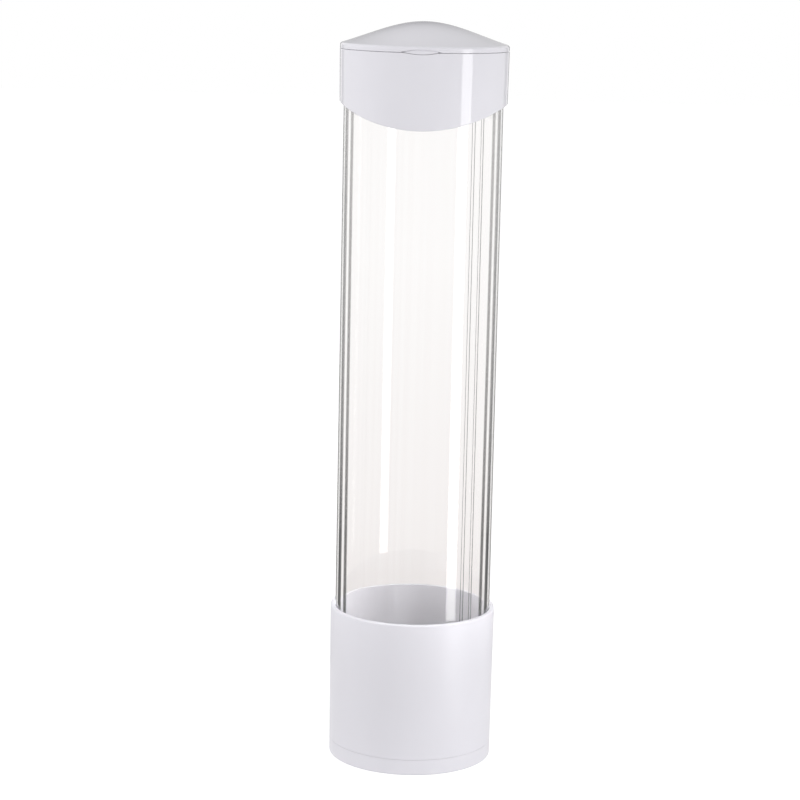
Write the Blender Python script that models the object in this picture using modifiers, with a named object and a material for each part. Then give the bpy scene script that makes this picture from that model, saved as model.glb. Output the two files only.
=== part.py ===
"""Tall dispenser for disposable cups.

A clear ribbed tube stands between a lidded collar and a base. Four sprung pawls
in the base hold the lowest cup by its rim and let one cup through at a pull.
The origin is at the middle of the underside, +Z is up and the front faces -Y.
All sizes are in metres and all angles in radians.
"""

import math

import bmesh
import bpy
from mathutils import Matrix, Vector

# Clear tube
TUBE_RADIUS = 0.0430
TUBE_WALL = 0.0020
TUBE_LENGTH = 0.3428
KEY_WIDTH = 0.0020
KEY_HEIGHT = 0.0008
KEY_ANGLES = (math.radians(129.9), math.radians(139.7))

# Clearances and the overrun of every cut
SEAT_GAP = 0.0003
KEY_GAP = 0.0003
PIN_GAP = 0.0001
OVERRUN = 0.0020

# Base shell
BASE_WALL = 0.00235
BASE_TAPER = 0.00045
BASE_LIP_ROUND = 0.0010
TUBE_SEAT_DEPTH = 0.0400
SEAT_FLANGE_THICKNESS = 0.0030

# Bottom ring and its bayonet
BOTTOM_RING_STEP = 0.00005
BOTTOM_RING_HEIGHT = 0.0086
BOTTOM_RING_SEAM = 0.0003
BOTTOM_PLATE_THICKNESS = 0.0024
BOTTOM_EDGE_ROUND = 0.0008
OUTLET_STEP = 0.0021
OUTLET_CHAMFER = 0.0014
SPIGOT_HEIGHT = 0.0034
SPIGOT_WALL = 0.0018
LUG_COUNT = 4
LUG_WIDTH = 0.0090
LUG_THICKNESS = 0.0015
LUG_REACH = 0.0007
LUG_ANGLE = math.radians(45)
LUG_GAP = 0.0003
LUG_TURN = math.radians(20)

# Collar
COLLAR_WALL = 0.0022
COLLAR_TAPER = 0.0003
COLLAR_HEIGHT = 0.04045
COLLAR_HEM_RADIUS = 0.0880
COLLAR_FLANGE_THICKNESS = 0.0033
COLLAR_EDGE_ROUND = 0.0004

# Lid
LID_SEAM = 0.0004
LID_OVERHANG = 0.0003
LID_RIM_HEIGHT = 0.0027
LID_RIM_WALL = 0.0028
LID_DOME_RISE = 0.0120
LID_DOME_WALL = 0.0020
LID_SKIRT_WALL = 0.0015
LID_SKIRT_DEPTH = 0.0040
LID_SKIRT_GAP = 0.0006
DOME_PARABOLA_SHARE = 0.58
NOTCH_HALF_WIDTH = 0.0105
NOTCH_RISE = 0.0018
NOTCH_DROP = 0.0006
NOTCH_DEPTH = 0.0012

# Hinge at the back of the lid
HINGE_OUTSET = 0.0001
HINGE_DROP = 0.0011
HINGE_BARREL_RADIUS = 0.0022
HINGE_PIN_RADIUS = 0.0008
HINGE_KNUCKLE_LENGTH = 0.0062
HINGE_MIDDLE_LENGTH = 0.0100
HINGE_SIDE_GAP = 0.0003
HINGE_SWING_GAP = 0.0004
HINGE_STOP_GAP = 0.0003
HINGE_LEAF_REACH = 0.0018
HINGE_LEAF_HEIGHT = 0.0024
LID_OPEN_ANGLE = math.radians(100)

# Flat pads on the back and their magnets
PAD_OUTSET = 0.0007
PAD_MARGIN = 0.0023
PAD_HEIGHT = 0.0300
PAD_CORNER_ROUND = 0.0040
BASE_PAD_HEIGHT_UP = 0.0300
MAGNET_RADIUS = 0.0058
MAGNET_THICKNESS = 0.0022
MAGNET_SPACING = 0.0158
MAGNET_GAP = 0.0002
MAGNET_RECESS = 0.0003

# Carrier ring of the pawls
CARRIER_HEIGHT = 0.0390
CARRIER_WALL = 0.0036
CARRIER_LEAD_IN = 0.0024
PIVOT_DROP = 0.0087
WINDOW_TOP_GAP = 0.0003
WINDOW_FOOT_GAP = 0.0006
WINDOW_SIDE_GAP = 0.0003

# Pawls
PAWL_ANGLES = {
    "front": math.radians(-90),
    "right": math.radians(0),
    "back": math.radians(90),
    "left": math.radians(180),
}
PAWL_WIDTH = 0.0104
PAWL_KNUCKLE_MARGIN = 0.0001
PAWL_KNUCKLE_GAP = 0.0003
PAWL_LENGTH = 0.0122
PAWL_ARM_THICKNESS = 0.0018
PAWL_LEDGE_DROP = 0.0076
PAWL_LEDGE_FALL = 0.0014
PAWL_TOE_REACH = 0.0026
PAWL_TOE_HEIGHT = 0.0016
PAWL_TOE_CHAMFER = 0.0014
PAWL_SWING = math.radians(28)
PAWL_SLOT_GAP = 0.0004
PAWL_PIN_RADIUS = 0.0008
PAWL_PIN_SEAT = 0.0019

# Torsion springs of the pawls
SPRING_WIRE_RADIUS = 0.00025
SPRING_PIN_GAP = 0.0003
SPRING_PITCH = 0.00095
SPRING_TURNS = 3
SPRING_LEG_LENGTH = 0.0072
SPRING_FIXED_LEG_LENGTH = 0.0052
SPRING_SEAT_GAP = 0.00015
SPRING_SWING_ROOM = 0.0003

# Counts of sides and points
RING_SIDES = 64
HEM_SIDES = 144
SMALL_SIDES = 24
PIN_SIDES = 16
DOME_POINTS = 8
ROUND_POINTS = 3
KNUCKLE_POINTS = 10
POINTS_PER_TURN = 9
SHARP_ANGLE = math.radians(32)
MERGE_DISTANCE = 0.00001

# Turns a flat outline upright, facing sideways: its across runs back, its along runs up
SIDEWAYS = Matrix(((0, 0, 1, 0), (1, 0, 0, 0), (0, 1, 0, 0), (0, 0, 0, 1)))

# Levels and radii that follow from the sizes above
bore_radius = TUBE_RADIUS - TUBE_WALL
socket_radius = TUBE_RADIUS + SEAT_GAP
carrier_radius = socket_radius - SEAT_GAP
throat_radius = carrier_radius - CARRIER_WALL
carrier_foot = BOTTOM_PLATE_THICKNESS + SEAT_GAP
carrier_top = carrier_foot + CARRIER_HEIGHT
coil_radius = PAWL_PIN_RADIUS + SPRING_PIN_GAP + SPRING_WIRE_RADIUS
knuckle_radius = coil_radius + SPRING_WIRE_RADIUS + PAWL_KNUCKLE_MARGIN
knuckle_reach = math.sqrt(socket_radius**2 - (PAWL_WIDTH / 2) ** 2)
pivot_height = carrier_top - PIVOT_DROP
pivot_radius = knuckle_reach - knuckle_radius - PAWL_KNUCKLE_GAP
pawl_back = coil_radius - SPRING_WIRE_RADIUS - SPRING_SEAT_GAP
window_half = PAWL_WIDTH / 2 + WINDOW_SIDE_GAP
window_top = pivot_height + knuckle_radius + WINDOW_TOP_GAP

base_foot = BOTTOM_RING_HEIGHT + BOTTOM_RING_SEAM
seat_foot = carrier_top + SEAT_GAP
seat_top = seat_foot + SEAT_FLANGE_THICKNESS
base_top = seat_top + TUBE_SEAT_DEPTH
base_top_radius = socket_radius + BASE_WALL
base_foot_radius = base_top_radius - BASE_TAPER
bottom_ring_radius = base_foot_radius - BOTTOM_RING_STEP
outlet_radius = bore_radius - OUTLET_STEP
spigot_top = BOTTOM_RING_HEIGHT + SPIGOT_HEIGHT
spigot_radius = socket_radius - SEAT_GAP
spigot_bore_radius = spigot_radius - SPIGOT_WALL

tube_foot = seat_top + SEAT_GAP
tube_top = tube_foot + TUBE_LENGTH
collar_top = tube_top + SEAT_GAP + COLLAR_FLANGE_THICKNESS
collar_foot = collar_top - COLLAR_HEIGHT
collar_top_radius = socket_radius + COLLAR_WALL
lid_foot = collar_top + LID_SEAM
lid_shoulder = lid_foot + LID_RIM_HEIGHT
lid_radius = collar_top_radius + LID_OVERHANG
hinge_height = collar_top - HINGE_DROP
hinge_setback = collar_top_radius + HINGE_OUTSET
knuckle_start = HINGE_MIDDLE_LENGTH / 2 + HINGE_SIDE_GAP
knuckle_end = knuckle_start + HINGE_KNUCKLE_LENGTH
swing_radius = HINGE_BARREL_RADIUS + HINGE_SWING_GAP
pad_face = hinge_setback + HINGE_BARREL_RADIUS + PAD_OUTSET
pad_half_width = MAGNET_SPACING / 2 + MAGNET_RADIUS + PAD_MARGIN


def clear_scene():
    """Remove what is in the scene."""
    for item in list(bpy.data.objects):
        bpy.data.objects.remove(item, do_unlink=True)


def make_collection(name):
    """Add a collection to the scene."""
    collection = bpy.data.collections.new(name)
    bpy.context.scene.collection.children.link(collection)
    return collection


def make_material(name, colour, roughness, metallic=0.0, alpha=1.0):
    """Return a plain material of one colour."""
    material = bpy.data.materials.new(name)
    material.use_nodes = True
    shader = material.node_tree.nodes["Principled BSDF"]
    shader.inputs["Base Color"].default_value = (*colour, 1.0)
    shader.inputs["Roughness"].default_value = roughness
    shader.inputs["Metallic"].default_value = metallic
    shader.inputs["Alpha"].default_value = alpha
    material.diffuse_color = (*colour, alpha)
    return material


def add_object(name, data, collection):
    """Link a new object that holds the given mesh or curve."""
    item = bpy.data.objects.new(name, data)
    collection.objects.link(item)
    return item


def as_guide(item):
    """Mark an object as one that only shapes another."""
    item.hide_render = True
    item.display_type = "WIRE"
    return item


def arc(centre, radius, start, end, points):
    """Return points along an arc in a plane, both ends included."""
    return [
        (
            centre[0] + radius * math.cos(start + (end - start) * step / points),
            centre[1] + radius * math.sin(start + (end - start) * step / points),
        )
        for step in range(points + 1)
    ]


def turned(name, profile, collection, closed=True):
    """Turn a profile of (radius, height) points about the Z axis."""
    mesh = bpy.data.meshes.new(name)
    shape = bmesh.new()
    corners = [shape.verts.new((radius, 0, height)) for radius, height in profile]
    for first, second in zip(corners, corners[1:]):
        shape.edges.new((first, second))
    if closed:
        shape.edges.new((corners[-1], corners[0]))
    shape.to_mesh(mesh)
    shape.free()
    item = add_object(name, mesh, collection)
    screw = item.modifiers.new("turn", "SCREW")
    screw.steps = RING_SIDES
    screw.render_steps = RING_SIDES
    screw.use_merge_vertices = True
    screw.merge_threshold = MERGE_DISTANCE
    return item


def rod(name, radius, length, collection, centre, axis="X", sides=SMALL_SIDES):
    """Add a round rod centred at a point, along an axis, with its flats facing the others."""
    turns = {
        "X": Matrix.Rotation(math.pi / 2, 4, "Y"),
        "Y": Matrix.Rotation(math.pi / 2, 4, "X"),
        "Z": Matrix.Identity(4),
    }
    half_side = Matrix.Rotation(math.pi / sides, 4, "Z")
    mesh = bpy.data.meshes.new(name)
    shape = bmesh.new()
    bmesh.ops.create_cone(
        shape,
        cap_ends=True,
        segments=sides,
        radius1=radius,
        radius2=radius,
        depth=length,
        matrix=Matrix.Translation(centre) @ turns[axis] @ half_side,
    )
    shape.to_mesh(mesh)
    shape.free()
    return add_object(name, mesh, collection)


def block(name, low, high, collection, turn=0.0):
    """Add a box between two corners, turned about the Z axis."""
    low = Vector(low)
    high = Vector(high)
    size = Matrix.Diagonal((*(high - low), 1))
    mesh = bpy.data.meshes.new(name)
    shape = bmesh.new()
    bmesh.ops.create_cube(shape, size=1.0, matrix=Matrix.Translation((low + high) / 2) @ size)
    bmesh.ops.transform(shape, matrix=Matrix.Rotation(turn, 4, "Z"), verts=shape.verts)
    shape.to_mesh(mesh)
    shape.free()
    return add_object(name, mesh, collection)


def plate(name, outlines, thickness, collection, matrix):
    """Extrude flat outlines by a thickness about their plane, then place the plate."""
    curve = bpy.data.curves.new(name, "CURVE")
    curve.dimensions = "2D"
    curve.fill_mode = "BOTH"
    curve.extrude = thickness / 2
    for outline in outlines:
        spline = curve.splines.new("POLY")
        spline.points.add(len(outline) - 1)
        for point, (across, along) in zip(spline.points, outline):
            point.co = (across, along, 0, 1)
        spline.use_cyclic_u = True
    guide = add_object(name + "_outline", curve, collection)
    bpy.context.view_layer.update()
    evaluated = guide.evaluated_get(bpy.context.evaluated_depsgraph_get())
    mesh = bpy.data.meshes.new_from_object(evaluated)
    bpy.data.objects.remove(guide)
    mesh.name = name
    shape = bmesh.new()
    shape.from_mesh(mesh)
    bmesh.ops.remove_doubles(shape, verts=shape.verts, dist=MERGE_DISTANCE)
    bmesh.ops.transform(shape, matrix=matrix, verts=shape.verts)
    bmesh.ops.recalc_face_normals(shape, faces=shape.faces)
    shape.to_mesh(mesh)
    shape.free()
    return add_object(name, mesh, collection)


def combine(item, operation, others):
    """Add Boolean modifiers that join, cut or meet an object with others."""
    for other in others:
        modifier = item.modifiers.new(other.name, "BOOLEAN")
        modifier.operation = operation
        modifier.solver = "EXACT"
        modifier.object = as_guide(other)


def finish(item, material, collection, origin=(0, 0, 0)):
    """Bake an object's modifiers, shade it, set its origin and put it with the parts."""
    bpy.context.view_layer.update()
    evaluated = item.evaluated_get(bpy.context.evaluated_depsgraph_get())
    mesh = bpy.data.meshes.new_from_object(evaluated)
    mesh.transform(Matrix.Translation(-Vector(origin)))
    mesh.shade_smooth()
    mesh.set_sharp_from_angle(angle=SHARP_ANGLE)
    mesh.materials.clear()
    mesh.materials.append(material)
    mesh.name = item.name
    item.modifiers.clear()
    item.data = mesh
    item.location = origin
    for holder in list(item.users_collection):
        holder.objects.unlink(item)
    collection.objects.link(item)
    return item


def station(angle, radius=0.0, height=0.0):
    """Return the placing of something whose own +X points outwards at an angle."""
    return Matrix.Rotation(angle, 4, "Z") @ Matrix.Translation((radius, 0, height))


def keyed_outline(radius, half_width):
    """Return a round outline with two ribs on its back right side."""
    rib_half = math.asin(half_width / radius)
    crest = math.hypot(radius + KEY_HEIGHT, half_width)
    crest_half = math.asin(half_width / crest)
    outline = []
    first, second = (angle - math.pi / 2 for angle in KEY_ANGLES)
    for start, end in ((first, second), (second, first + math.tau)):
        points = max(round((end - start) / math.tau * RING_SIDES), 1)
        outline += arc((0, 0), crest, start - crest_half, start + crest_half, 1)
        outline += arc((0, 0), radius, start + rib_half, end - rib_half, points)
    return outline


def tube_socket(name, foot, top, cutters):
    """Add the cutter of a socket that takes the tube and its ribs with a clearance."""
    outline = keyed_outline(socket_radius, KEY_WIDTH / 2 + KEY_GAP)
    middle = Matrix.Translation((0, 0, (foot + top) / 2))
    return plate(name, [outline], top - foot, cutters, middle)


def back_pad(name, foot, cutters):
    """Add the flat pad that stands out at the back, with rounded corners."""
    half = pad_half_width - PAD_CORNER_ROUND
    low = foot + PAD_CORNER_ROUND
    high = foot + PAD_HEIGHT - PAD_CORNER_ROUND
    outline = []
    corners = ((half, low), (half, high), (-half, high), (-half, low))
    for turn, corner in enumerate(corners):
        start = math.pi / 2 * (turn - 1)
        outline += arc(corner, PAD_CORNER_ROUND, start, start + math.pi / 2, ROUND_POINTS)
    inner = bore_radius - OVERRUN
    placing = Matrix.Translation((0, (pad_face + inner) / 2, 0)) @ Matrix.Rotation(
        math.pi / 2, 4, "X"
    )
    return plate(name, [outline], pad_face - inner, cutters, placing)


def magnet_places(pad_foot):
    """Return the name and centre of each magnet in a pad, on the pad's face."""
    middle = pad_foot + PAD_HEIGHT / 2
    return {
        "left": Vector((-MAGNET_SPACING / 2, pad_face, middle)),
        "right": Vector((MAGNET_SPACING / 2, pad_face, middle)),
    }


def magnet_pockets(pad_foot, cutters):
    """Add the cutters of a pad's two magnet pockets."""
    depth = MAGNET_RECESS + MAGNET_THICKNESS + MAGNET_GAP
    pockets = []
    for place in magnet_places(pad_foot).values():
        centre = place + Vector((0, (OVERRUN - depth) / 2, 0))
        pockets.append(
            rod("pocket", MAGNET_RADIUS + MAGNET_GAP, depth + OVERRUN, cutters, centre, "Y")
        )
    return pockets


def make_magnets(level, pad_foot, material, parts):
    """Make the two disc magnets of one pad."""
    for side, place in magnet_places(pad_foot).items():
        centre = place - Vector((0, MAGNET_RECESS + MAGNET_THICKNESS / 2, 0))
        name = f"magnet_{level}_{side}"
        disc = rod(name, MAGNET_RADIUS, MAGNET_THICKNESS, parts, centre, "Y")
        finish(disc, material, parts, centre)


def make_tube(material, parts):
    """Make the extruded tube with the two ribs along its back right side."""
    outer = keyed_outline(TUBE_RADIUS, KEY_WIDTH / 2)
    inner = arc((0, 0), bore_radius, 0, math.tau, RING_SIDES)[:-1]
    middle = Matrix.Translation((0, 0, tube_foot + TUBE_LENGTH / 2))
    tube = plate("clear_tube", [outer, inner], TUBE_LENGTH, parts, middle)
    return finish(tube, material, parts)


def notch_cutter(cutters):
    """Add the lens-shaped cutter of the finger notch across the front seam."""
    seam = collar_top + LID_SEAM / 2
    outline = []
    for sagitta, side in ((NOTCH_RISE + LID_SEAM / 2, 1), (NOTCH_DROP + LID_SEAM / 2, -1)):
        radius = (NOTCH_HALF_WIDTH**2 + sagitta**2) / (2 * sagitta)
        reach = math.asin(NOTCH_HALF_WIDTH / radius)
        centre = (0, seam - side * (radius - sagitta))
        upright = side * math.pi / 2
        outline += arc(centre, radius, upright - reach, upright + reach, KNUCKLE_POINTS)[:-1]
    floor = NOTCH_DEPTH - lid_radius
    face = -lid_radius - OVERRUN
    placing = Matrix.Translation((0, (floor + face) / 2, 0)) @ Matrix.Rotation(
        math.pi / 2, 4, "X"
    )
    return plate("finger_notch", [outline], floor - face, cutters, placing)


def knuckle_rooms(cutters):
    """Add the cutters of the lid's clearance round the collar's two knuckles."""
    rooms = []
    for side in (-1, 1):
        centre = (side * (knuckle_start + knuckle_end) / 2, hinge_setback, hinge_height)
        length = HINGE_KNUCKLE_LENGTH + 2 * HINGE_SIDE_GAP
        rooms.append(rod("knuckle_room", swing_radius, length, cutters, centre))
    return rooms


def hinge_pin_bore(cutters):
    """Add the cutter of the bore along the hinge axis."""
    centre = (0, hinge_setback, hinge_height)
    length = 2 * (knuckle_end + OVERRUN)
    return rod("hinge_bore", HINGE_PIN_RADIUS + PIN_GAP, length, cutters, centre, "X", PIN_SIDES)


def open_stop_drop():
    """Return how far the lid's leaf reaches below the hinge axis when fully open."""
    return HINGE_BARREL_RADIUS * math.sin(LID_OPEN_ANGLE) - HINGE_LEAF_HEIGHT * math.cos(
        LID_OPEN_ANGLE
    )


def make_collar(material, parts, cutters):
    """Make the collar with its flange, arched hem, hinge knuckles, slots and back pad."""
    round_centre = (collar_top_radius - COLLAR_EDGE_ROUND, collar_top - COLLAR_EDGE_ROUND)
    profile = [(0, collar_top)]
    profile += arc(round_centre, COLLAR_EDGE_ROUND, math.pi / 2, 0, ROUND_POINTS)
    low_radius = collar_top_radius - COLLAR_TAPER
    profile += [(low_radius, collar_foot - OVERRUN), (0, collar_foot - OVERRUN)]
    collar = turned("collar", profile, cutters, closed=False)

    hem = rod(
        "hem",
        COLLAR_HEM_RADIUS,
        2 * (collar_top_radius + OVERRUN),
        cutters,
        (0, 0, collar_foot + COLLAR_HEM_RADIUS),
        "Y",
        HEM_SIDES,
    )
    combine(collar, "INTERSECT", [hem])

    pad = back_pad("collar_pad", collar_pad_foot(), cutters)
    axis = (0, hinge_setback, hinge_height)
    barrel = rod("barrel", HINGE_BARREL_RADIUS, 2 * knuckle_end, cutters, axis)
    combine(collar, "UNION", [pad, barrel])

    flange_foot = tube_top + SEAT_GAP
    socket = tube_socket("collar_socket", collar_foot - 2 * OVERRUN, flange_foot, cutters)
    bore = rod(
        "collar_bore",
        bore_radius,
        COLLAR_FLANGE_THICKNESS + 2 * OVERRUN,
        cutters,
        (0, 0, flange_foot + COLLAR_FLANGE_THICKNESS / 2),
        "Z",
        RING_SIDES,
    )
    swing_room = rod("leaf_room", swing_radius, 2 * knuckle_start, cutters, axis)
    pockets = magnet_pockets(collar_pad_foot(), cutters)
    cuts = [socket, bore, swing_room, hinge_pin_bore(cutters), notch_cutter(cutters)]
    combine(collar, "DIFFERENCE", [*cuts, *pockets])
    return finish(collar, material, parts)


def collar_pad_foot():
    """Return the height of the collar pad's foot: its top is the open lid's stop."""
    return hinge_height - open_stop_drop() - HINGE_STOP_GAP - PAD_HEIGHT


def dome_height(share):
    """Return the dome's height over the rim at a share of its radius."""
    parabola = 1 - share**2
    bell = (1 + math.cos(math.pi * share)) / 2
    return LID_DOME_RISE * (
        DOME_PARABOLA_SHARE * parabola + (1 - DOME_PARABOLA_SHARE) * bell
    )


def leaf_outline():
    """Return the hinge leaf's outline, as (backwards, up) points about the hinge axis."""
    radius = HINGE_BARREL_RADIUS
    crown = math.pi - math.acos(HINGE_LEAF_REACH / radius)
    outline = arc((0, 0), radius, crown, math.tau, KNUCKLE_POINTS)
    outline += [(radius, HINGE_LEAF_HEIGHT), (-HINGE_LEAF_REACH, HINGE_LEAF_HEIGHT)]
    return outline


def make_lid(material, parts, cutters):
    """Make the domed lid with its rim, inner skirt, hinge leaf and finger notch."""
    shares = [step / DOME_POINTS for step in range(DOME_POINTS + 1)]
    rim_inner = lid_radius - LID_RIM_WALL
    skirt_outer = bore_radius - LID_SKIRT_GAP
    skirt_inner = skirt_outer - LID_SKIRT_WALL
    under = [share * skirt_inner for share in shares]

    profile = [(share * lid_radius, lid_shoulder + dome_height(share)) for share in shares]
    profile += [
        (lid_radius, lid_foot),
        (rim_inner, lid_foot),
        (rim_inner, lid_shoulder - LID_DOME_WALL / 2),
        (skirt_outer, lid_shoulder - LID_DOME_WALL / 2),
        (skirt_outer, collar_top - LID_SKIRT_DEPTH),
        (skirt_inner, collar_top - LID_SKIRT_DEPTH),
    ]
    profile += [
        (radius, lid_shoulder - LID_DOME_WALL + dome_height(radius / lid_radius))
        for radius in reversed(under)
    ]
    lid = turned("lid", profile, cutters, closed=False)

    axis = (0, hinge_setback, hinge_height)
    hole = arc((0, 0), HINGE_PIN_RADIUS + PIN_GAP, 0, math.tau, PIN_SIDES)[:-1]
    placing = Matrix.Translation(axis) @ SIDEWAYS
    leaf = plate("leaf", [leaf_outline(), hole], HINGE_MIDDLE_LENGTH, cutters, placing)
    combine(lid, "DIFFERENCE", [*knuckle_rooms(cutters), notch_cutter(cutters)])
    combine(lid, "UNION", [leaf])
    return finish(lid, material, parts, axis)


def make_hinge_pin(material, parts):
    """Make the lid's hinge pin."""
    axis = (0, hinge_setback, hinge_height)
    pin = rod("hinge_pin", HINGE_PIN_RADIUS, 2 * knuckle_end, parts, axis, "X", PIN_SIDES)
    return finish(pin, material, parts, axis)


def make_base_shell(material, parts, cutters):
    """Make the base shell with its tube seat, bayonet groove, slots and back pad."""
    lip = (base_top_radius - BASE_LIP_ROUND, base_top - BASE_LIP_ROUND)
    profile = [(0, base_top)]
    profile += arc(lip, BASE_LIP_ROUND, math.pi / 2, 0, ROUND_POINTS)
    profile += [(base_foot_radius, base_foot), (0, base_foot)]
    shell = turned("base_shell", profile, cutters, closed=False)
    combine(shell, "UNION", [back_pad("base_pad", BASE_PAD_HEIGHT_UP, cutters)])

    groove_radius = socket_radius + LUG_REACH + LUG_GAP
    groove_foot = spigot_top - LUG_THICKNESS - LUG_GAP
    groove_top = spigot_top + LUG_GAP
    bore = turned(
        "shell_bore",
        [
            (0, seat_top + OVERRUN),
            (bore_radius, seat_top + OVERRUN),
            (bore_radius, seat_foot),
            (socket_radius, seat_foot),
            (socket_radius, groove_top),
            (groove_radius, groove_top),
            (groove_radius, groove_foot),
            (socket_radius, groove_foot),
            (socket_radius, base_foot - OVERRUN),
            (0, base_foot - OVERRUN),
        ],
        cutters,
        closed=False,
    )
    half = LUG_WIDTH / 2 + LUG_GAP
    entries = [
        block(
            "lug_entry",
            (bore_radius, -half, base_foot - OVERRUN),
            (socket_radius + LUG_REACH, half, groove_foot + LUG_GAP),
            cutters,
            LUG_ANGLE + LUG_TURN + turn * math.tau / LUG_COUNT,
        )
        for turn in range(LUG_COUNT)
    ]
    socket = tube_socket("shell_socket", seat_top, base_top + OVERRUN, cutters)
    pockets = magnet_pockets(BASE_PAD_HEIGHT_UP, cutters)
    combine(shell, "DIFFERENCE", [socket, bore, *entries, *pockets])
    return finish(shell, material, parts)


def make_bottom_ring(material, parts, cutters):
    """Make the ring that closes the base, with its spigot and bayonet lugs."""
    edge = (bottom_ring_radius - BOTTOM_EDGE_ROUND, BOTTOM_EDGE_ROUND)
    profile = [
        (spigot_bore_radius, spigot_top),
        (spigot_radius, spigot_top),
        (spigot_radius, BOTTOM_RING_HEIGHT),
        (bottom_ring_radius, BOTTOM_RING_HEIGHT),
    ]
    profile += arc(edge, BOTTOM_EDGE_ROUND, 0, -math.pi / 2, ROUND_POINTS)
    profile += [
        (outlet_radius + OUTLET_CHAMFER, 0),
        (outlet_radius, OUTLET_CHAMFER),
        (outlet_radius, BOTTOM_PLATE_THICKNESS),
        (spigot_bore_radius, BOTTOM_PLATE_THICKNESS),
    ]
    ring = turned("bottom_ring", profile, cutters)
    lugs = [
        block(
            "lug",
            (spigot_radius - SPIGOT_WALL / 2, -LUG_WIDTH / 2, spigot_top - LUG_THICKNESS),
            (spigot_radius + LUG_REACH, LUG_WIDTH / 2, spigot_top - LUG_GAP / 2),
            cutters,
            LUG_ANGLE + turn * math.tau / LUG_COUNT,
        )
        for turn in range(LUG_COUNT)
    ]
    combine(ring, "UNION", lugs)
    return finish(ring, material, parts)


def make_carrier(material, parts, cutters):
    """Make the ring that carries the pawls, with a window and a pin bore for each."""
    shoulder = spigot_top + SEAT_GAP
    skirt_radius = spigot_bore_radius - SEAT_GAP
    lead_in = throat_radius + CARRIER_LEAD_IN / 2
    carrier = turned(
        "pawl_carrier",
        [
            (lead_in, carrier_top),
            (carrier_radius, carrier_top),
            (carrier_radius, shoulder),
            (skirt_radius, shoulder),
            (skirt_radius, carrier_foot),
            (throat_radius, carrier_foot),
            (throat_radius, carrier_top - CARRIER_LEAD_IN),
        ],
        cutters,
    )
    window_foot = pivot_height - PAWL_LENGTH - WINDOW_FOOT_GAP
    leg_side = spring_half_length()
    leg_half = SPRING_WIRE_RADIUS + SPRING_SWING_ROOM
    leg_floor = pivot_radius + coil_radius - SPRING_WIRE_RADIUS - SPRING_SEAT_GAP
    leg_top = pivot_height + SPRING_FIXED_LEG_LENGTH + SPRING_SWING_ROOM
    outside = carrier_radius + OVERRUN
    cuts = []
    for angle in PAWL_ANGLES.values():
        cuts.append(
            block(
                "window",
                (throat_radius - OVERRUN, -window_half, window_foot),
                (outside, window_half, window_top),
                cutters,
                angle,
            )
        )
        cuts.append(
            block(
                "leg_groove",
                (leg_floor, -leg_side - leg_half, pivot_height),
                (outside, -leg_side + leg_half, leg_top),
                cutters,
                angle,
            )
        )
        reach = 2 * math.sqrt(outside**2 - pivot_radius**2)
        bore = rod(
            "pin_bore",
            PAWL_PIN_RADIUS + PIN_GAP,
            reach,
            cutters,
            (0, 0, 0),
            "Y",
            PIN_SIDES,
        )
        bore.matrix_world = station(angle, pivot_radius, pivot_height)
        cuts.append(bore)
    combine(carrier, "DIFFERENCE", cuts)
    return finish(carrier, material, parts)


def pawl_outline():
    """Return a pawl's outline at rest, as (outwards, up) points about its pivot."""
    front = pawl_back - PAWL_ARM_THICKNESS
    toe_top = -PAWL_LEDGE_DROP - PAWL_LEDGE_FALL
    toe_foot = toe_top - PAWL_TOE_HEIGHT
    arm = [
        (pawl_back, -PAWL_LENGTH),
        (-PAWL_TOE_REACH + PAWL_TOE_CHAMFER, -PAWL_LENGTH),
        (-PAWL_TOE_REACH, toe_foot),
        (-PAWL_TOE_REACH, toe_top),
        (front, -PAWL_LEDGE_DROP),
    ]
    leaning = [
        (
            out * math.cos(PAWL_SWING) + up * math.sin(PAWL_SWING),
            up * math.cos(PAWL_SWING) - out * math.sin(PAWL_SWING),
        )
        for out, up in arm
    ]
    back_angle = -math.acos(pawl_back / knuckle_radius) - PAWL_SWING
    front_angle = -math.acos(front / knuckle_radius) - PAWL_SWING
    outer = arc((0, 0), knuckle_radius, math.pi / 2, back_angle, KNUCKLE_POINTS)
    inner = arc((0, 0), knuckle_radius, front_angle, -math.pi, ROUND_POINTS)
    stop = [(-knuckle_radius, knuckle_radius)]
    return outer + leaning + inner + stop


def spring_half_length():
    """Return half the distance between a spring's two legs."""
    return SPRING_PITCH * (SPRING_TURNS + PAWL_SWING / math.tau) / 2


def spring_path():
    """Return the path of a torsion spring's wire about its pawl's pivot."""
    half = spring_half_length()
    sweep = SPRING_TURNS * math.tau + PAWL_SWING
    steps = round(sweep / math.tau * POINTS_PER_TURN)
    path = [Vector((coil_radius, -half, SPRING_FIXED_LEG_LENGTH))]
    for step in range(steps + 1):
        angle = -sweep * step / steps
        path.append(
            Vector(
                (
                    coil_radius * math.cos(angle),
                    -half + 2 * half * step / steps,
                    coil_radius * math.sin(angle),
                )
            )
        )
    down = Vector((-math.sin(PAWL_SWING), 0, -math.cos(PAWL_SWING)))
    path.append(path[-1] + down * SPRING_LEG_LENGTH)
    return path


def least_gap(path):
    """Return the least gap between the wire's turns that lie a turn apart or more."""
    coil = path[1:-1]
    apart = POINTS_PER_TURN // 2
    nearest = min(
        (coil[second] - coil[first]).length
        for first in range(len(coil))
        for second in range(first + apart, len(coil))
    )
    return nearest - 2 * SPRING_WIRE_RADIUS


def make_spring(name, material, parts):
    """Make one torsion spring as a bent wire."""
    path = spring_path()
    curve = bpy.data.curves.new(name, "CURVE")
    curve.dimensions = "3D"
    curve.bevel_depth = SPRING_WIRE_RADIUS
    curve.bevel_resolution = 1
    curve.use_fill_caps = True
    spline = curve.splines.new("POLY")
    spline.points.add(len(path) - 1)
    for point, place in zip(spline.points, path):
        point.co = (*place, 1)
    curve.materials.append(material)
    return add_object(name, curve, parts)


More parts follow.
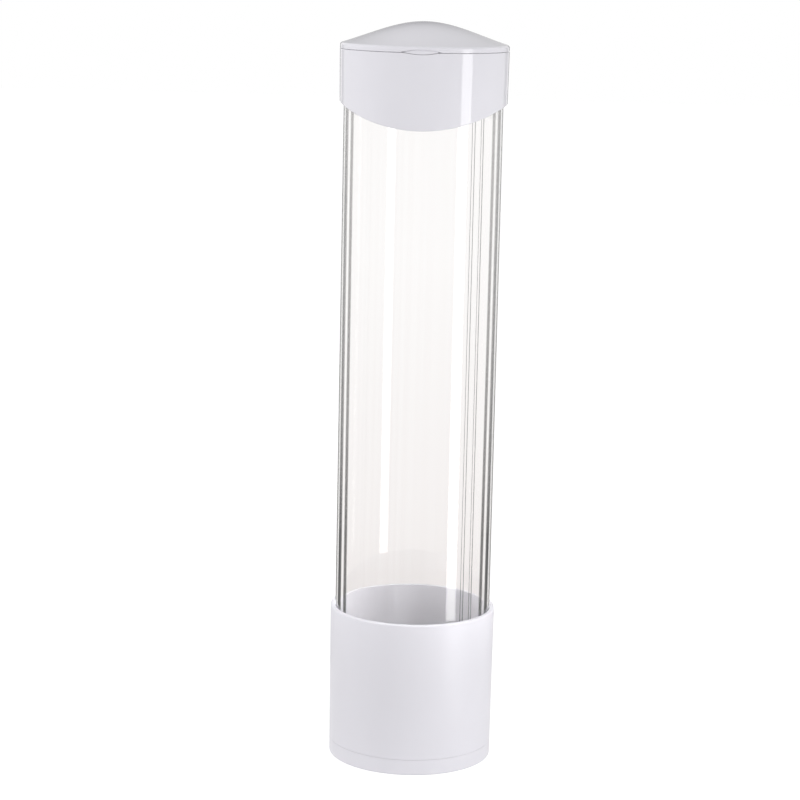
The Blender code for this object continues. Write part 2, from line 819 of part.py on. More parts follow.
def make_pawl(name, material, parts, cutters):
    """Make one pawl about its pivot, with a slot for the spring between its knuckles."""
    upright = Matrix.Rotation(math.pi / 2, 4, "X")
    pawl = plate(name, [pawl_outline()], PAWL_WIDTH, parts, upright)
    reach = knuckle_radius + OVERRUN
    depth = knuckle_radius + SPRING_SWING_ROOM
    half = spring_half_length() + SPRING_WIRE_RADIUS + PAWL_SLOT_GAP
    slot = block(name + "_slot", (-reach, -half, -depth), (reach, half, reach), cutters)
    bore_length = PAWL_WIDTH + 2 * OVERRUN
    bore = rod(
        name + "_bore", PAWL_PIN_RADIUS + PIN_GAP, bore_length, cutters, (0, 0, 0), "Y", PIN_SIDES
    )
    combine(pawl, "DIFFERENCE", [slot, bore])
    return finish(pawl, material, parts)


def make_pawl_stations(plastic, steel, parts, cutters):
    """Make the four pawls, each with its pin and spring on an empty at its pivot."""
    for side, angle in PAWL_ANGLES.items():
        pivot = add_object(f"pawl_pivot_{side}", None, parts)
        pivot.matrix_world = station(angle, pivot_radius, pivot_height)
        pawl = make_pawl(f"cup_pawl_{side}", plastic, parts, cutters)
        length = 2 * (window_half + PAWL_PIN_SEAT)
        pin = rod(
            f"pawl_pin_{side}", PAWL_PIN_RADIUS, length, parts, (0, 0, 0), "Y", PIN_SIDES
        )
        finish(pin, steel, parts)
        spring = make_spring(f"pawl_spring_{side}", steel, parts)
        for item in (pawl, pin, spring):
            item.parent = pivot
    print(f"least gap between the turns of a spring: {least_gap(spring_path()) * 1000:.2f} mm")


def main():
    """Build the whole dispenser."""
    clear_scene()
    parts = make_collection("cup_dispenser")
    cutters = make_collection("cutters")

    gloss_white = make_material("gloss_white", (0.80, 0.79, 0.82), 0.15)
    satin_white = make_material("satin_white", (0.78, 0.77, 0.80), 0.40)
    clear = make_material("clear_plastic", (0.96, 0.97, 0.97), 0.05, alpha=0.25)
    grey = make_material("grey_plastic", (0.55, 0.56, 0.58), 0.45)
    steel = make_material("steel", (0.62, 0.62, 0.64), 0.25, metallic=1.0)
    nickel = make_material("nickel", (0.70, 0.69, 0.66), 0.20, metallic=1.0)

    make_tube(clear, parts)
    make_collar(gloss_white, parts, cutters)
    make_lid(gloss_white, parts, cutters)
    make_hinge_pin(steel, parts)
    make_base_shell(satin_white, parts, cutters)
    make_bottom_ring(satin_white, parts, cutters)
    make_carrier(grey, parts, cutters)
    make_pawl_stations(grey, steel, parts, cutters)
    make_magnets("upper", collar_pad_foot(), nickel, parts)
    make_magnets("lower", BASE_PAD_HEIGHT_UP, nickel, parts)

    for cutter in list(cutters.objects):
        bpy.data.objects.remove(cutter, do_unlink=True)
    bpy.data.collections.remove(cutters)


main()
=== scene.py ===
"""Looks of the cup dispenser tube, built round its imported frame.

Every piece is modelled at the sizes of the solids, in metres, with +Z up and
the front facing -Y, and is dressed with a procedural finish.
"""

import logging
import math
from dataclasses import dataclass
from enum import Enum
from typing import Any, Callable, Mapping, Sequence

import bpy
from mathutils import Matrix, Vector


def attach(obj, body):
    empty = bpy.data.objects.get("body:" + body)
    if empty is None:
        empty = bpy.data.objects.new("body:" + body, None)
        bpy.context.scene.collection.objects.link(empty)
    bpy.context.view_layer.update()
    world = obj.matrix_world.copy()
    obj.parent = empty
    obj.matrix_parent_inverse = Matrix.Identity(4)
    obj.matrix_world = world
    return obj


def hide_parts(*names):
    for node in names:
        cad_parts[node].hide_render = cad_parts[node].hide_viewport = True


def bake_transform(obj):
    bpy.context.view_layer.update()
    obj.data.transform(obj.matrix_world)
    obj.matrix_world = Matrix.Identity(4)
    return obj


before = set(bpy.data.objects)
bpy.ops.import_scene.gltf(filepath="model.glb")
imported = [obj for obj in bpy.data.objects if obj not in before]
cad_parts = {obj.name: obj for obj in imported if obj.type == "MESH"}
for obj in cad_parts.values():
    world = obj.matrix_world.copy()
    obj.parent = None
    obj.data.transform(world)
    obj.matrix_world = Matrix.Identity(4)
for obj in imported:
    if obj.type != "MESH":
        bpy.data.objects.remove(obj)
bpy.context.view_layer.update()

log = logging.getLogger("cup_dispenser")

Point = tuple[float, float]
Place = tuple[float, float, float]
Item = bpy.types.Object
Socket = bpy.types.NodeSocket
Test = Callable[[Vector, Vector], bool]

MM = 0.001
ROUND_SIDES = 256
SMALL_ROUND_SIDES = 64
PIN_SIDES = 32
SMOOTH_ANGLE = math.radians(32)
FLAT_ANGLE = math.radians(0.6)
MERGE_DISTANCE = 0.002 * MM
TOUCH = 0.02 * MM
KEY_ANGLES = (math.radians(39.9), math.radians(49.7))
SIDE_STEP = math.tau / ROUND_SIDES
SIDE_PHASE = KEY_ANGLES[0] - round(KEY_ANGLES[0] / SIDE_STEP) * SIDE_STEP
ALONG_X = (0.0, math.pi / 2, 0.0)
ALONG_Y = (math.pi / 2, 0.0, 0.0)
UNIT = (0.0, 1.0)
NOISE_MIDDLE = (0.3, 0.7)


class Slot(Enum):
    """The record's material slots."""

    CLEAR = "clear_plastic"
    GLOSS = "gloss_white"
    SATIN = "satin_white"
    GREY = "grey_plastic"
    STEEL = "steel"
    NICKEL = "nickel"


class Side(Enum):
    """Where a pawl stands, as the angle of its outward direction from +X."""

    FRONT = -90.0
    RIGHT = 0.0
    BACK = 90.0
    LEFT = 180.0

    @property
    def word(self) -> str:
        """Return the side's name as the nodes use it."""
        return self.name.lower()

    @property
    def angle(self) -> float:
        """Return the side's angle in radians."""
        return math.radians(self.value)


# Hand tools


class Bench:
    """Hand tools that add primitives, shape them in edit mode and join them."""

    @staticmethod
    def clear() -> None:
        """Leave edit mode and deselect everything."""
        if bpy.context.object is not None and bpy.context.object.mode != "OBJECT":
            bpy.ops.object.mode_set(mode="OBJECT")
        bpy.ops.object.select_all(action="DESELECT")

    @staticmethod
    def pick(item: Item) -> None:
        """Select one object alone and make it the active one.

        Args:
            item: the object.
        """
        Bench.clear()
        item.select_set(True)
        bpy.context.view_layer.objects.active = item

    @staticmethod
    def bring(name: str, data: bpy.types.ID) -> Item:
        """Bring a new object into the scene.

        Args:
            name: the object's name.
            data: its mesh, curve, light or camera.

        Returns:
            The object.
        """
        item = bpy.data.objects.new(name, data)
        bpy.context.scene.collection.objects.link(item)
        return item

    @staticmethod
    def discard(item: Item) -> None:
        """Remove an object that has been used up."""
        bpy.data.objects.remove(item, do_unlink=True)

    @staticmethod
    def settle(name: str) -> Item:
        """Name the active object and put its place into its mesh.

        Args:
            name: the piece's name.

        Returns:
            The object, at the origin, unturned and unscaled.
        """
        item = bpy.context.object
        item.name = name
        item.data.name = name
        bpy.ops.object.transform_apply(location=True, rotation=True, scale=True)
        return item

    @staticmethod
    def rod(
        name: str,
        radius: float,
        length: float,
        centre: Place,
        turn: Place = (0.0, 0.0, 0.0),
        sides: int = SMALL_ROUND_SIDES,
    ) -> Item:
        """Add a round rod along Z, turned and centred at a place.

        Args:
            name: the rod's name.
            radius: its radius.
            length: its length.
            centre: the middle of its axis.
            turn: Euler angles that turn it from Z.
            sides: how many sides it has.

        Returns:
            The rod.
        """
        Bench.clear()
        bpy.ops.mesh.primitive_cylinder_add(
            vertices=sides, radius=radius, depth=length, location=centre, rotation=turn
        )
        return Bench.settle(name)

    @staticmethod
    def block(name: str, low: Place, high: Place, turn: float = 0.0) -> Item:
        """Add a box between two corners, turned about the tube's axis.

        Args:
            name: the box's name.
            low: its lowest corner.
            high: its highest corner.
            turn: the angle it is turned by.

        Returns:
            The box.
        """
        Bench.clear()
        middle = (Vector(low) + Vector(high)) / 2
        bpy.ops.mesh.primitive_cube_add(
            size=1.0,
            location=Matrix.Rotation(turn, 3, "Z") @ middle,
            rotation=(0.0, 0.0, turn),
            scale=Vector(high) - Vector(low),
        )
        return Bench.settle(name)

    @staticmethod
    def turned(name: str, profile: Sequence[Point], closed: bool = True) -> Item:
        """Raise a ring along a profile about the Z axis.

        Args:
            name: the piece's name.
            profile: (radius, height) points; a radius of zero closes the form there.
            closed: whether the last ring is bridged with the first one.

        Returns:
            The turned piece, with its normals outwards.
        """
        Bench.clear()
        start = next(index for index, point in enumerate(profile) if point[0] > 0)
        radius, height = profile[start]
        bpy.ops.mesh.primitive_circle_add(
            vertices=ROUND_SIDES,
            radius=radius,
            location=(0.0, 0.0, height),
            rotation=(0.0, 0.0, SIDE_PHASE),
        )
        item = Bench.settle(name)
        bpy.ops.object.mode_set(mode="EDIT")
        bpy.ops.mesh.select_mode(type="EDGE")
        bpy.ops.mesh.select_all(action="SELECT")
        for wide, high in profile[start + 1 :]:
            bpy.ops.mesh.extrude_region_move(
                TRANSFORM_OT_translate={"value": (0.0, 0.0, high - height)}
            )
            if wide > 0:
                share = wide / radius
                bpy.ops.transform.resize(
                    value=(share, share, 1.0), center_override=(0.0, 0.0, high)
                )
                radius = wide
            else:
                bpy.ops.mesh.merge(type="CENTER")
            height = high
        bpy.ops.mesh.select_all(action="DESELECT")
        if start:
            drop = profile[0][1] - profile[start][1]
            bpy.ops.mesh.select_non_manifold()
            bpy.ops.mesh.extrude_region_move(
                TRANSFORM_OT_translate={"value": (0.0, 0.0, drop)}
            )
            bpy.ops.mesh.merge(type="CENTER")
        elif closed:
            bpy.ops.mesh.select_non_manifold()
            bpy.ops.mesh.bridge_edge_loops()
        Bench.face_out()
        return item

    @staticmethod
    def face_out() -> None:
        """Turn the active mesh's normals outwards and leave edit mode."""
        if bpy.context.object.mode != "EDIT":
            bpy.ops.object.mode_set(mode="EDIT")
        bpy.ops.mesh.select_all(action="SELECT")
        bpy.ops.mesh.normals_make_consistent(inside=False)
        bpy.ops.object.mode_set(mode="OBJECT")

    @staticmethod
    def mark(item: Item, kind: str, wanted: Test) -> int:
        """Enter edit mode with only the wanted edges or faces selected.

        Args:
            item: the piece.
            kind: EDGE or FACE.
            wanted: takes an edge's two ends, or a face's centre and normal.

        Returns:
            How many are selected.
        """
        Bench.pick(item)
        bpy.ops.object.mode_set(mode="EDIT")
        bpy.ops.mesh.select_mode(type=kind)
        bpy.ops.mesh.select_all(action="DESELECT")
        bpy.ops.object.mode_set(mode="OBJECT")
        mesh = item.data
        if kind == "EDGE":
            for edge in mesh.edges:
                edge.select = wanted(*(mesh.vertices[end].co for end in edge.vertices))
        else:
            for face in mesh.polygons:
                face.select = wanted(face.center, face.normal)
        count = sum(row.select for row in (mesh.edges if kind == "EDGE" else mesh.polygons))
        bpy.ops.object.mode_set(mode="EDIT")
        return count

    @staticmethod
    def bevel_edges(item: Item, wanted: Test, width: float, segments: int = 3) -> None:
        """Round the wanted edges.

        Args:
            item: the piece.
            wanted: takes an edge's two ends and says whether it is rounded.
            width: the round's radius.
            segments: how many faces the round has.
        """
        if Bench.mark(item, "EDGE", wanted):
            bpy.ops.mesh.bevel(offset=width, segments=segments, affect="EDGES")
        bpy.ops.object.mode_set(mode="OBJECT")

    @staticmethod
    def combine(item: Item, operation: str, others: Sequence[Item]) -> None:
        """Join, cut or meet a piece with others, which are used up.

        Args:
            item: the piece that stays.
            operation: UNION, DIFFERENCE or INTERSECT.
            others: the pieces it is combined with.
        """
        for other in others:
            modifier = item.modifiers.new(other.name, "BOOLEAN")
            modifier.operation = operation
            modifier.solver = "EXACT"
            modifier.object = other
            Bench.apply(item)
            Bench.discard(other)

    @staticmethod
    def apply(item: Item) -> None:
        """Apply all of a piece's modifiers in their order.

        Args:
            item: the piece.
        """
        Bench.pick(item)
        for modifier in list(item.modifiers):
            bpy.ops.object.modifier_apply(modifier=modifier.name)

    @staticmethod
    def soften(item: Item, width: float, segments: int = 2) -> None:
        """Round all sharp edges of a piece with a bevel modifier.

        Args:
            item: the piece.
            width: the round's width.
            segments: how many faces the round has.
        """
        bevel = item.modifiers.new("soft_edges", "BEVEL")
        bevel.limit_method = "ANGLE"
        bevel.angle_limit = SMOOTH_ANGLE
        bevel.width = width
        bevel.segments = segments
        bevel.use_clamp_overlap = True
        Bench.apply(item)

    @staticmethod
    def smooth(item: Item, angle: float = SMOOTH_ANGLE) -> Item:
        """Shade a piece smooth but for sharp edges, with its large faces kept flat.

        Args:
            item: the piece.
            angle: the angle over which an edge stays sharp.

        Returns:
            The piece.
        """
        Bench.pick(item)
        bpy.ops.object.shade_smooth_by_angle(angle=angle)
        weighted = item.modifiers.new("even_shading", "WEIGHTED_NORMAL")
        weighted.keep_sharp = True
        Bench.apply(item)
        return item

    @staticmethod
    def copied(item: Item, name: str, placing: Matrix) -> Item:
        """Copy a piece to another place.

        Args:
            item: the piece.
            name: the copy's name.
            placing: what takes the piece to the copy's place.

        Returns:
            The copy, with a mesh of its own.
        """
        twin = Bench.bring(name, item.data.copy())
        twin.matrix_world = placing
        Bench.pick(twin)
        return Bench.settle(name)

    @staticmethod
    def softened_copy(name: str, node: str, width: float) -> Item:
        """Copy a solid of the frame, merge its triangles and round its edges.

        Args:
            name: the copy's name.
            node: the solid's name.
            width: the round's width.

        Returns:
            The copy, with a mesh of its own.
        """
        item = Bench.bring(name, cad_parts[node].data.copy())
        item.data.materials.clear()
        Bench.pick(item)
        bpy.ops.object.mode_set(mode="EDIT")
        bpy.ops.mesh.select_all(action="SELECT")
        bpy.ops.mesh.remove_doubles(threshold=MERGE_DISTANCE)
        bpy.ops.mesh.customdata_custom_splitnormals_clear()
        bpy.ops.mesh.dissolve_limited(angle_limit=FLAT_ANGLE)
        bpy.ops.object.mode_set(mode="OBJECT")
        Bench.soften(item, width)
        return Bench.smooth(item)


def arc(centre: Point, radius: float, start: float, end: float, steps: int) -> list[Point]:
    """Return points along an arc of a profile.

    Args:
        centre: the arc's centre, as (radius, height).
        radius: the arc's radius.
        start: its first angle in degrees, from outwards towards up.
        end: its last angle in degrees.
        steps: how many steps it has.

    Returns:
        The points, both ends included.
    """
    angles = [math.radians(start + (end - start) * step / steps) for step in range(steps + 1)]
    return [
        (centre[0] + radius * math.cos(angle), centre[1] + radius * math.sin(angle))
        for angle in angles
    ]


# Finishes


class Recipe:
    """Lays out the nodes of a material or of the world."""

    def __init__(self, owner: bpy.types.Material | bpy.types.World) -> None:
        """Start with the owner's own shader and its coordinates.

        Args:
            owner: the material or world whose nodes are laid out.
        """
        owner.use_nodes = True
        self.owner = owner
        self.tree = owner.node_tree
        self.shader = next(node for node in self.tree.nodes if not node.name.endswith("Output"))
        self.coordinates = self.add("TexCoord").outputs
        self.place = self.coordinates["Object"]

    def add(
        self, kind: str, inputs: Mapping[str | int, Any] | None = None, **settings: str | bool
    ) -> bpy.types.Node:
        """Add a node.

        Args:
            kind: its type, without the leading ShaderNode.
            inputs: what its inputs get, a socket to link or a value.
            **settings: its own properties.

        Returns:
            The node.
        """
        node = self.tree.nodes.new("ShaderNode" + kind)
        for name, value in settings.items():
            setattr(node, name, value)
        for key, value in (inputs or {}).items():
            self.give(node.inputs[key], value)
        return node

    def give(self, socket: Socket, value: Any) -> None:
        """Link another socket to a socket, or set its value.

        Args:
            socket: the socket that is fed.
            value: the other socket, or the value.
        """
        if isinstance(value, Socket):
            self.tree.links.new(value, socket)
        else:
            socket.default_value = value

    def feed(self, **values: Any) -> None:
        """Link or set the shader's own sockets, named with _ for a space."""
        for name, value in values.items():
            self.give(self.shader.inputs[name.replace("_", " ")], value)

    def stretched(self, scale: Place) -> Socket:
        """Return the object's coordinates, scaled along each axis."""
        return self.add("Mapping", {"Vector": self.place, "Scale": scale}).outputs["Vector"]

    def noise(
        self,
        scale: float,
        detail: float,
        stretch: Place | None = None,
        roughness: float = 0.5,
    ) -> Socket:
        """Add a noise pattern.

        Args:
            scale: how many of its waves stand in a metre.
            detail: how many finer layers it has.
            stretch: how much its scale is multiplied by along each axis.
            roughness: how strong the finer layers are.

        Returns:
            The pattern's value.
        """
        inputs = {
            "Vector": self.stretched(stretch) if stretch else self.place,
            "Scale": scale,
            "Detail": detail,
            "Roughness": roughness,
        }
        return self.add("TexNoise", inputs).outputs["Fac"]

    def spread(
        self, value: Socket, low: Any, high: float, between: Point = NOISE_MIDDLE, **how: str
    ) -> Socket:
        """Spread a range of a pattern over two values.

        Args:
            value: the pattern.
            low: what the range's start gives, a value or a socket.
            high: what its end gives.
            between: the range.
            **how: further settings of the node.

        Returns:
            The spread value.
        """
        inputs = {"Value": value, "To Min": low, "To Max": high}
        inputs |= {"From Min": between[0], "From Max": between[1]}
        return self.add("MapRange", inputs, **how).outputs["Result"]

    def calculate(
        self, operation: str, first: Socket, second: Socket | float, clamp: bool = False
    ) -> Socket:
        """Return what two values give by an operation."""
        node = self.add("Math", {0: first, 1: second}, operation=operation, use_clamp=clamp)
        return node.outputs["Value"]

    def part(self, vector: Socket, axis: str) -> Socket:
        """Return one part of a vector."""
        return self.add("SeparateXYZ", {"Vector": vector}).outputs[axis]

    def length(self, vector: Socket) -> Socket:
        """Return a vector's length."""
        return self.add("VectorMath", {0: vector}, operation="LENGTH").outputs["Value"]

    def reach(self) -> Socket:
        """Return the distance from the Z axis in the object's coordinates."""
        return self.length(self.stretched((1.0, 1.0, 0.0)))

    def ramp(self, value: Socket, stops: Sequence[Point]) -> Socket:
        """Turn a pattern into tones of grey.

        Args:
            value: the pattern.
            stops: places from 0 to 1 with their tones.

        Returns:
            The tone.
        """
        node = self.add("ValToRGB", {"Fac": value})
        marks = node.color_ramp.elements
        while len(marks) < len(stops):
            marks.new(0.5)
        for mark, (spot, tone) in zip(marks, stops):
            mark.position = spot
            mark.color = (tone, tone, tone, 1.0)
        return node.outputs["Color"]

    def blend(self, share: Socket, first: Place | Socket, second: Place | Socket) -> Socket:
        """Blend two colours by a share.

        Args:
            share: how much of the second colour there is.
            first: the colour where it is 0.
            second: the colour where it is 1.

        Returns:
            The blended colour.
        """
        node = self.add("Mix", {"Factor": share}, data_type="RGBA")
        sockets = [socket for socket in node.inputs if socket.type == "RGBA"]
        for socket, colour in zip(sockets, (first, second)):
            self.give(socket, colour if isinstance(colour, Socket) else (*colour, 1.0))
        return next(socket for socket in node.outputs if socket.type == "RGBA")

    def tint(self, value: Socket, first: Place, second: Place) -> Socket:
        """Blend two colours by a noise: the first in its low places."""
        return self.blend(self.spread(value, 0.0, 1.0), first, second)

    def bump(self, *layers: tuple[Socket, float]) -> None:
        """Raise the surface by patterns, one after the other.

        Args:
            *layers: patterns with their height in metres.
        """
        last = {}
        for value, height in layers:
            inputs = {"Strength": 1.0, "Distance": height, "Height": value} | last
            last = {"Normal": self.add("Bump", inputs).outputs["Normal"]}
        self.feed(**last)

    def show(self, surface: Socket) -> None:
        """Show a surface of its own in place of the plain shader."""
        self.tree.nodes.remove(self.shader)
        self.tree.links.new(surface, self.tree.nodes["Material Output"].inputs["Surface"])


@dataclass(frozen=True)
class MouldedPlastic:
    """Opaque moulded plastic with a fine mould texture and faint flow marks."""

    name: str
    colour: Place
    shade: Place
    roughness: Point
    grain: float
    grain_height: float
    flow: float = 34.0
    flow_stretch: Place = (1.0, 1.0, 0.45)
    flow_height: float = 0.02 * MM
    wear: float = 210.0
    index: float = 1.49

    def make(self) -> bpy.types.Material:
        """Lay out the finish's nodes.

        Returns:
            The finish's material.
        """
        recipe = Recipe(bpy.data.materials.new(self.name))
        flow = recipe.noise(self.flow, detail=3.0, stretch=self.flow_stretch)
        grain = recipe.noise(self.grain, detail=2.0)
        wear = recipe.noise(self.wear, detail=4.0, roughness=0.6)
        recipe.feed(
            Base_Color=recipe.tint(flow, self.shade, self.colour),
            Roughness=recipe.spread(wear, *self.roughness),
            IOR=self.index,
        )
        recipe.bump((flow, self.flow_height), (grain, self.grain_height))
        return recipe.owner


@dataclass(frozen=True)
class ExtrudedClear:
    """Clear extruded plastic with painted dark edge lines, rib flanks painted dark as shade, and
    fine lines.
    """

    name: str
    colour: Place = (0.992, 0.989, 0.988)
    streak: Place = (0.968, 0.958, 0.956)
    streaks: float = 260.0
    streak_stretch: Place = (1.0, 1.0, 0.003)
    index: float = 1.49
    gloss: float = 0.14
    # painted shade: the dark stops of this facing ramp paint dark lines near the wall's edges
    painted_edge_lines: tuple[Point, ...] = (
        (0.0, 1.0), (0.500, 1.0), (0.518, 0.02), (0.570, 0.02), (0.588, 1.0),
        (0.636, 1.0), (0.652, 0.0), (0.750, 0.0), (0.766, 1.0),
        (0.804, 1.0), (0.824, 0.05), (0.900, 0.05), (0.940, 1.0),
    )
    # painted shade: the painted edge lines and rib flanks are darkest low on the tube and lighter
    # higher up
    painted_edge_depth: Point = (1.0, 0.78)
    painted_edge_heights: Point = (0.13, 0.36)
    outer_wall: Point = (0.0420, 0.0426)
    flank_starts: Point = (0.04302, 0.04310)
    flank_ends: Point = (0.04370, 0.04379)
    # painted shade: the rib flanks get this dark opaque grey in place of the dark lines they show
    flank_painted_shade: Place = (0.12, 0.12, 0.12)
    flank_painted_shade_share: float = 0.8
    haze: float = 60.0
    haze_stretch: Place = (1.0, 1.0, 0.3)
    roughness: Point = (0.0, 0.010)
    waves: float = 150.0
    wave_stretch: Place = (1.0, 1.0, 0.012)
    wave_height: float = 0.0012 * MM
    lines: float = 900.0
    line_stretch: Place = (1.0, 1.0, 0.006)
    line_height: float = 0.0001 * MM

    def painted_edge_tone(self, recipe: Recipe) -> Socket:
        """Return the wall's tone by how squarely it is met, with painted shade: dark edge lines
        that stand in for dark surroundings seen through the wall.
        """
        facing = recipe.add("LayerWeight", {"Blend": 0.5}).outputs["Facing"]
        return recipe.ramp(facing, self.painted_edge_lines)

    def make(self) -> bpy.types.Material:
        """Lay out the finish's nodes.

        Returns:
            The finish's material.
        """
        recipe = Recipe(bpy.data.materials.new(self.name))
        waves = recipe.noise(self.waves, detail=1.0, stretch=self.wave_stretch)
        lines = recipe.noise(self.lines, detail=2.0, stretch=self.line_stretch)
        haze = recipe.noise(self.haze, 5.0, self.haze_stretch, roughness=0.65)
        streaks = recipe.noise(self.streaks, 3.0, self.streak_stretch, roughness=0.6)
        reach = recipe.reach()
        height = recipe.part(recipe.place, "Z")
        # painted shade: this share makes the painted dark lines strongest low on the tube
        depth = recipe.spread(height, *self.painted_edge_depth, self.painted_edge_heights)
        outside = recipe.spread(reach, 0.0, 1.0, self.outer_wall)
        flank = recipe.calculate(
            "MULTIPLY",
            recipe.spread(reach, 0.0, 1.0, self.flank_starts),
            recipe.spread(reach, 1.0, 0.0, self.flank_ends),
        )
        wall = recipe.blend(
            recipe.calculate("MULTIPLY", depth, outside),
            recipe.tint(streaks, self.streak, self.colour),
            self.painted_edge_tone(recipe),
        )
        # painted shade: the rib flanks turn a dark opaque grey, more so low on the tube
        recipe.feed(
            IOR=self.index,
            Specular_IOR_Level=self.gloss,
            Base_Color=recipe.blend(
                recipe.calculate("MULTIPLY", depth, flank), wall, self.flank_painted_shade
            ),
            Transmission_Weight=recipe.spread(flank, 1.0, 1.0 - self.flank_painted_shade_share, UNIT),
            Roughness=recipe.spread(haze, *self.roughness),
        )
        recipe.bump((waves, self.wave_height), (lines, self.line_height))
        return recipe.owner


@dataclass(frozen=True)
class BrightMetal:
    """Bright metal with fine drawing lines along one axis and small specks."""

    name: str
    colour: Place
    shade: Place
    roughness: Point
    stretch: Place | None = None
    lines: float = 4200.0
    line_height: float = 0.0006 * MM
    specks: float = 1500.0

    def make(self) -> bpy.types.Material:
        """Lay out the finish's nodes.

        Returns:
            The finish's material.
        """
        recipe = Recipe(bpy.data.materials.new(self.name))
        drawn = recipe.noise(self.lines, detail=2.0, stretch=self.stretch)
        specks = recipe.noise(self.specks, detail=4.0, roughness=0.7)
        recipe.feed(
            Metallic=1.0,
            Base_Color=recipe.tint(specks, self.shade, self.colour),
            Roughness=recipe.spread(drawn, *self.roughness),
        )
        recipe.bump((drawn, self.line_height))
        return recipe.owner


class Finishes:
    """All finishes of the dispenser, each made once."""

    MAKERS = {
        Slot.GLOSS: MouldedPlastic(
            "gloss_white_moulded",
            colour=(0.798, 0.787, 0.838),
            shade=(0.782, 0.771, 0.822),
            roughness=(0.035, 0.065),
            grain=2600.0,
            grain_height=0.0008 * MM,
        ),
        Slot.SATIN: MouldedPlastic(
            "satin_white_moulded",
            colour=(0.792, 0.780, 0.830),
            shade=(0.776, 0.764, 0.814),
            roughness=(0.34, 0.42),
            grain=3400.0,
            grain_height=0.004 * MM,
        ),
        Slot.GREY: MouldedPlastic(
            "plain_grey_moulded",
            colour=(0.56, 0.57, 0.59),
            shade=(0.51, 0.52, 0.54),
            roughness=(0.38, 0.52),
            grain=4200.0,
            grain_height=0.007 * MM,
        ),
        Slot.CLEAR: ExtrudedClear("clear_extruded"),
        Slot.STEEL: BrightMetal(
            "drawn_steel",
            colour=(0.66, 0.66, 0.68),
            shade=(0.52, 0.52, 0.53),
            roughness=(0.18, 0.32),
            stretch=(0.08, 1.0, 1.0),
        ),
        Slot.NICKEL: BrightMetal(
            "nickel_plate",
            colour=(0.72, 0.70, 0.67),
            shade=(0.60, 0.58, 0.55),
            roughness=(0.14, 0.24),
        ),
    }

    def __init__(self) -> None:
        """Make the material of each slot."""
        self.materials = {slot: maker.make() for slot, maker in self.MAKERS.items()}

    def coat(self, item: Item, slot: Slot, node: str) -> Item:
        """Give a finished piece its finish and the node it stands for.

        Args:
            item: the finished piece.
            slot: the slot its finish comes from.
            node: the node that it replaces.

        Returns:
            The piece.
        """
        item.data.materials.clear()
        item.data.materials.append(self.materials[slot])
        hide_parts(node)
        log.info("%s: %d faces", item.name, len(item.data.polygons))
        return item

    def dress(self, item: Item, slot: Slot, body: str, node: str) -> Item:
        """Coat a piece and let it ride on a body, as its node does."""
        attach(self.coat(item, slot, node), body)
        return item


# Shared sizes


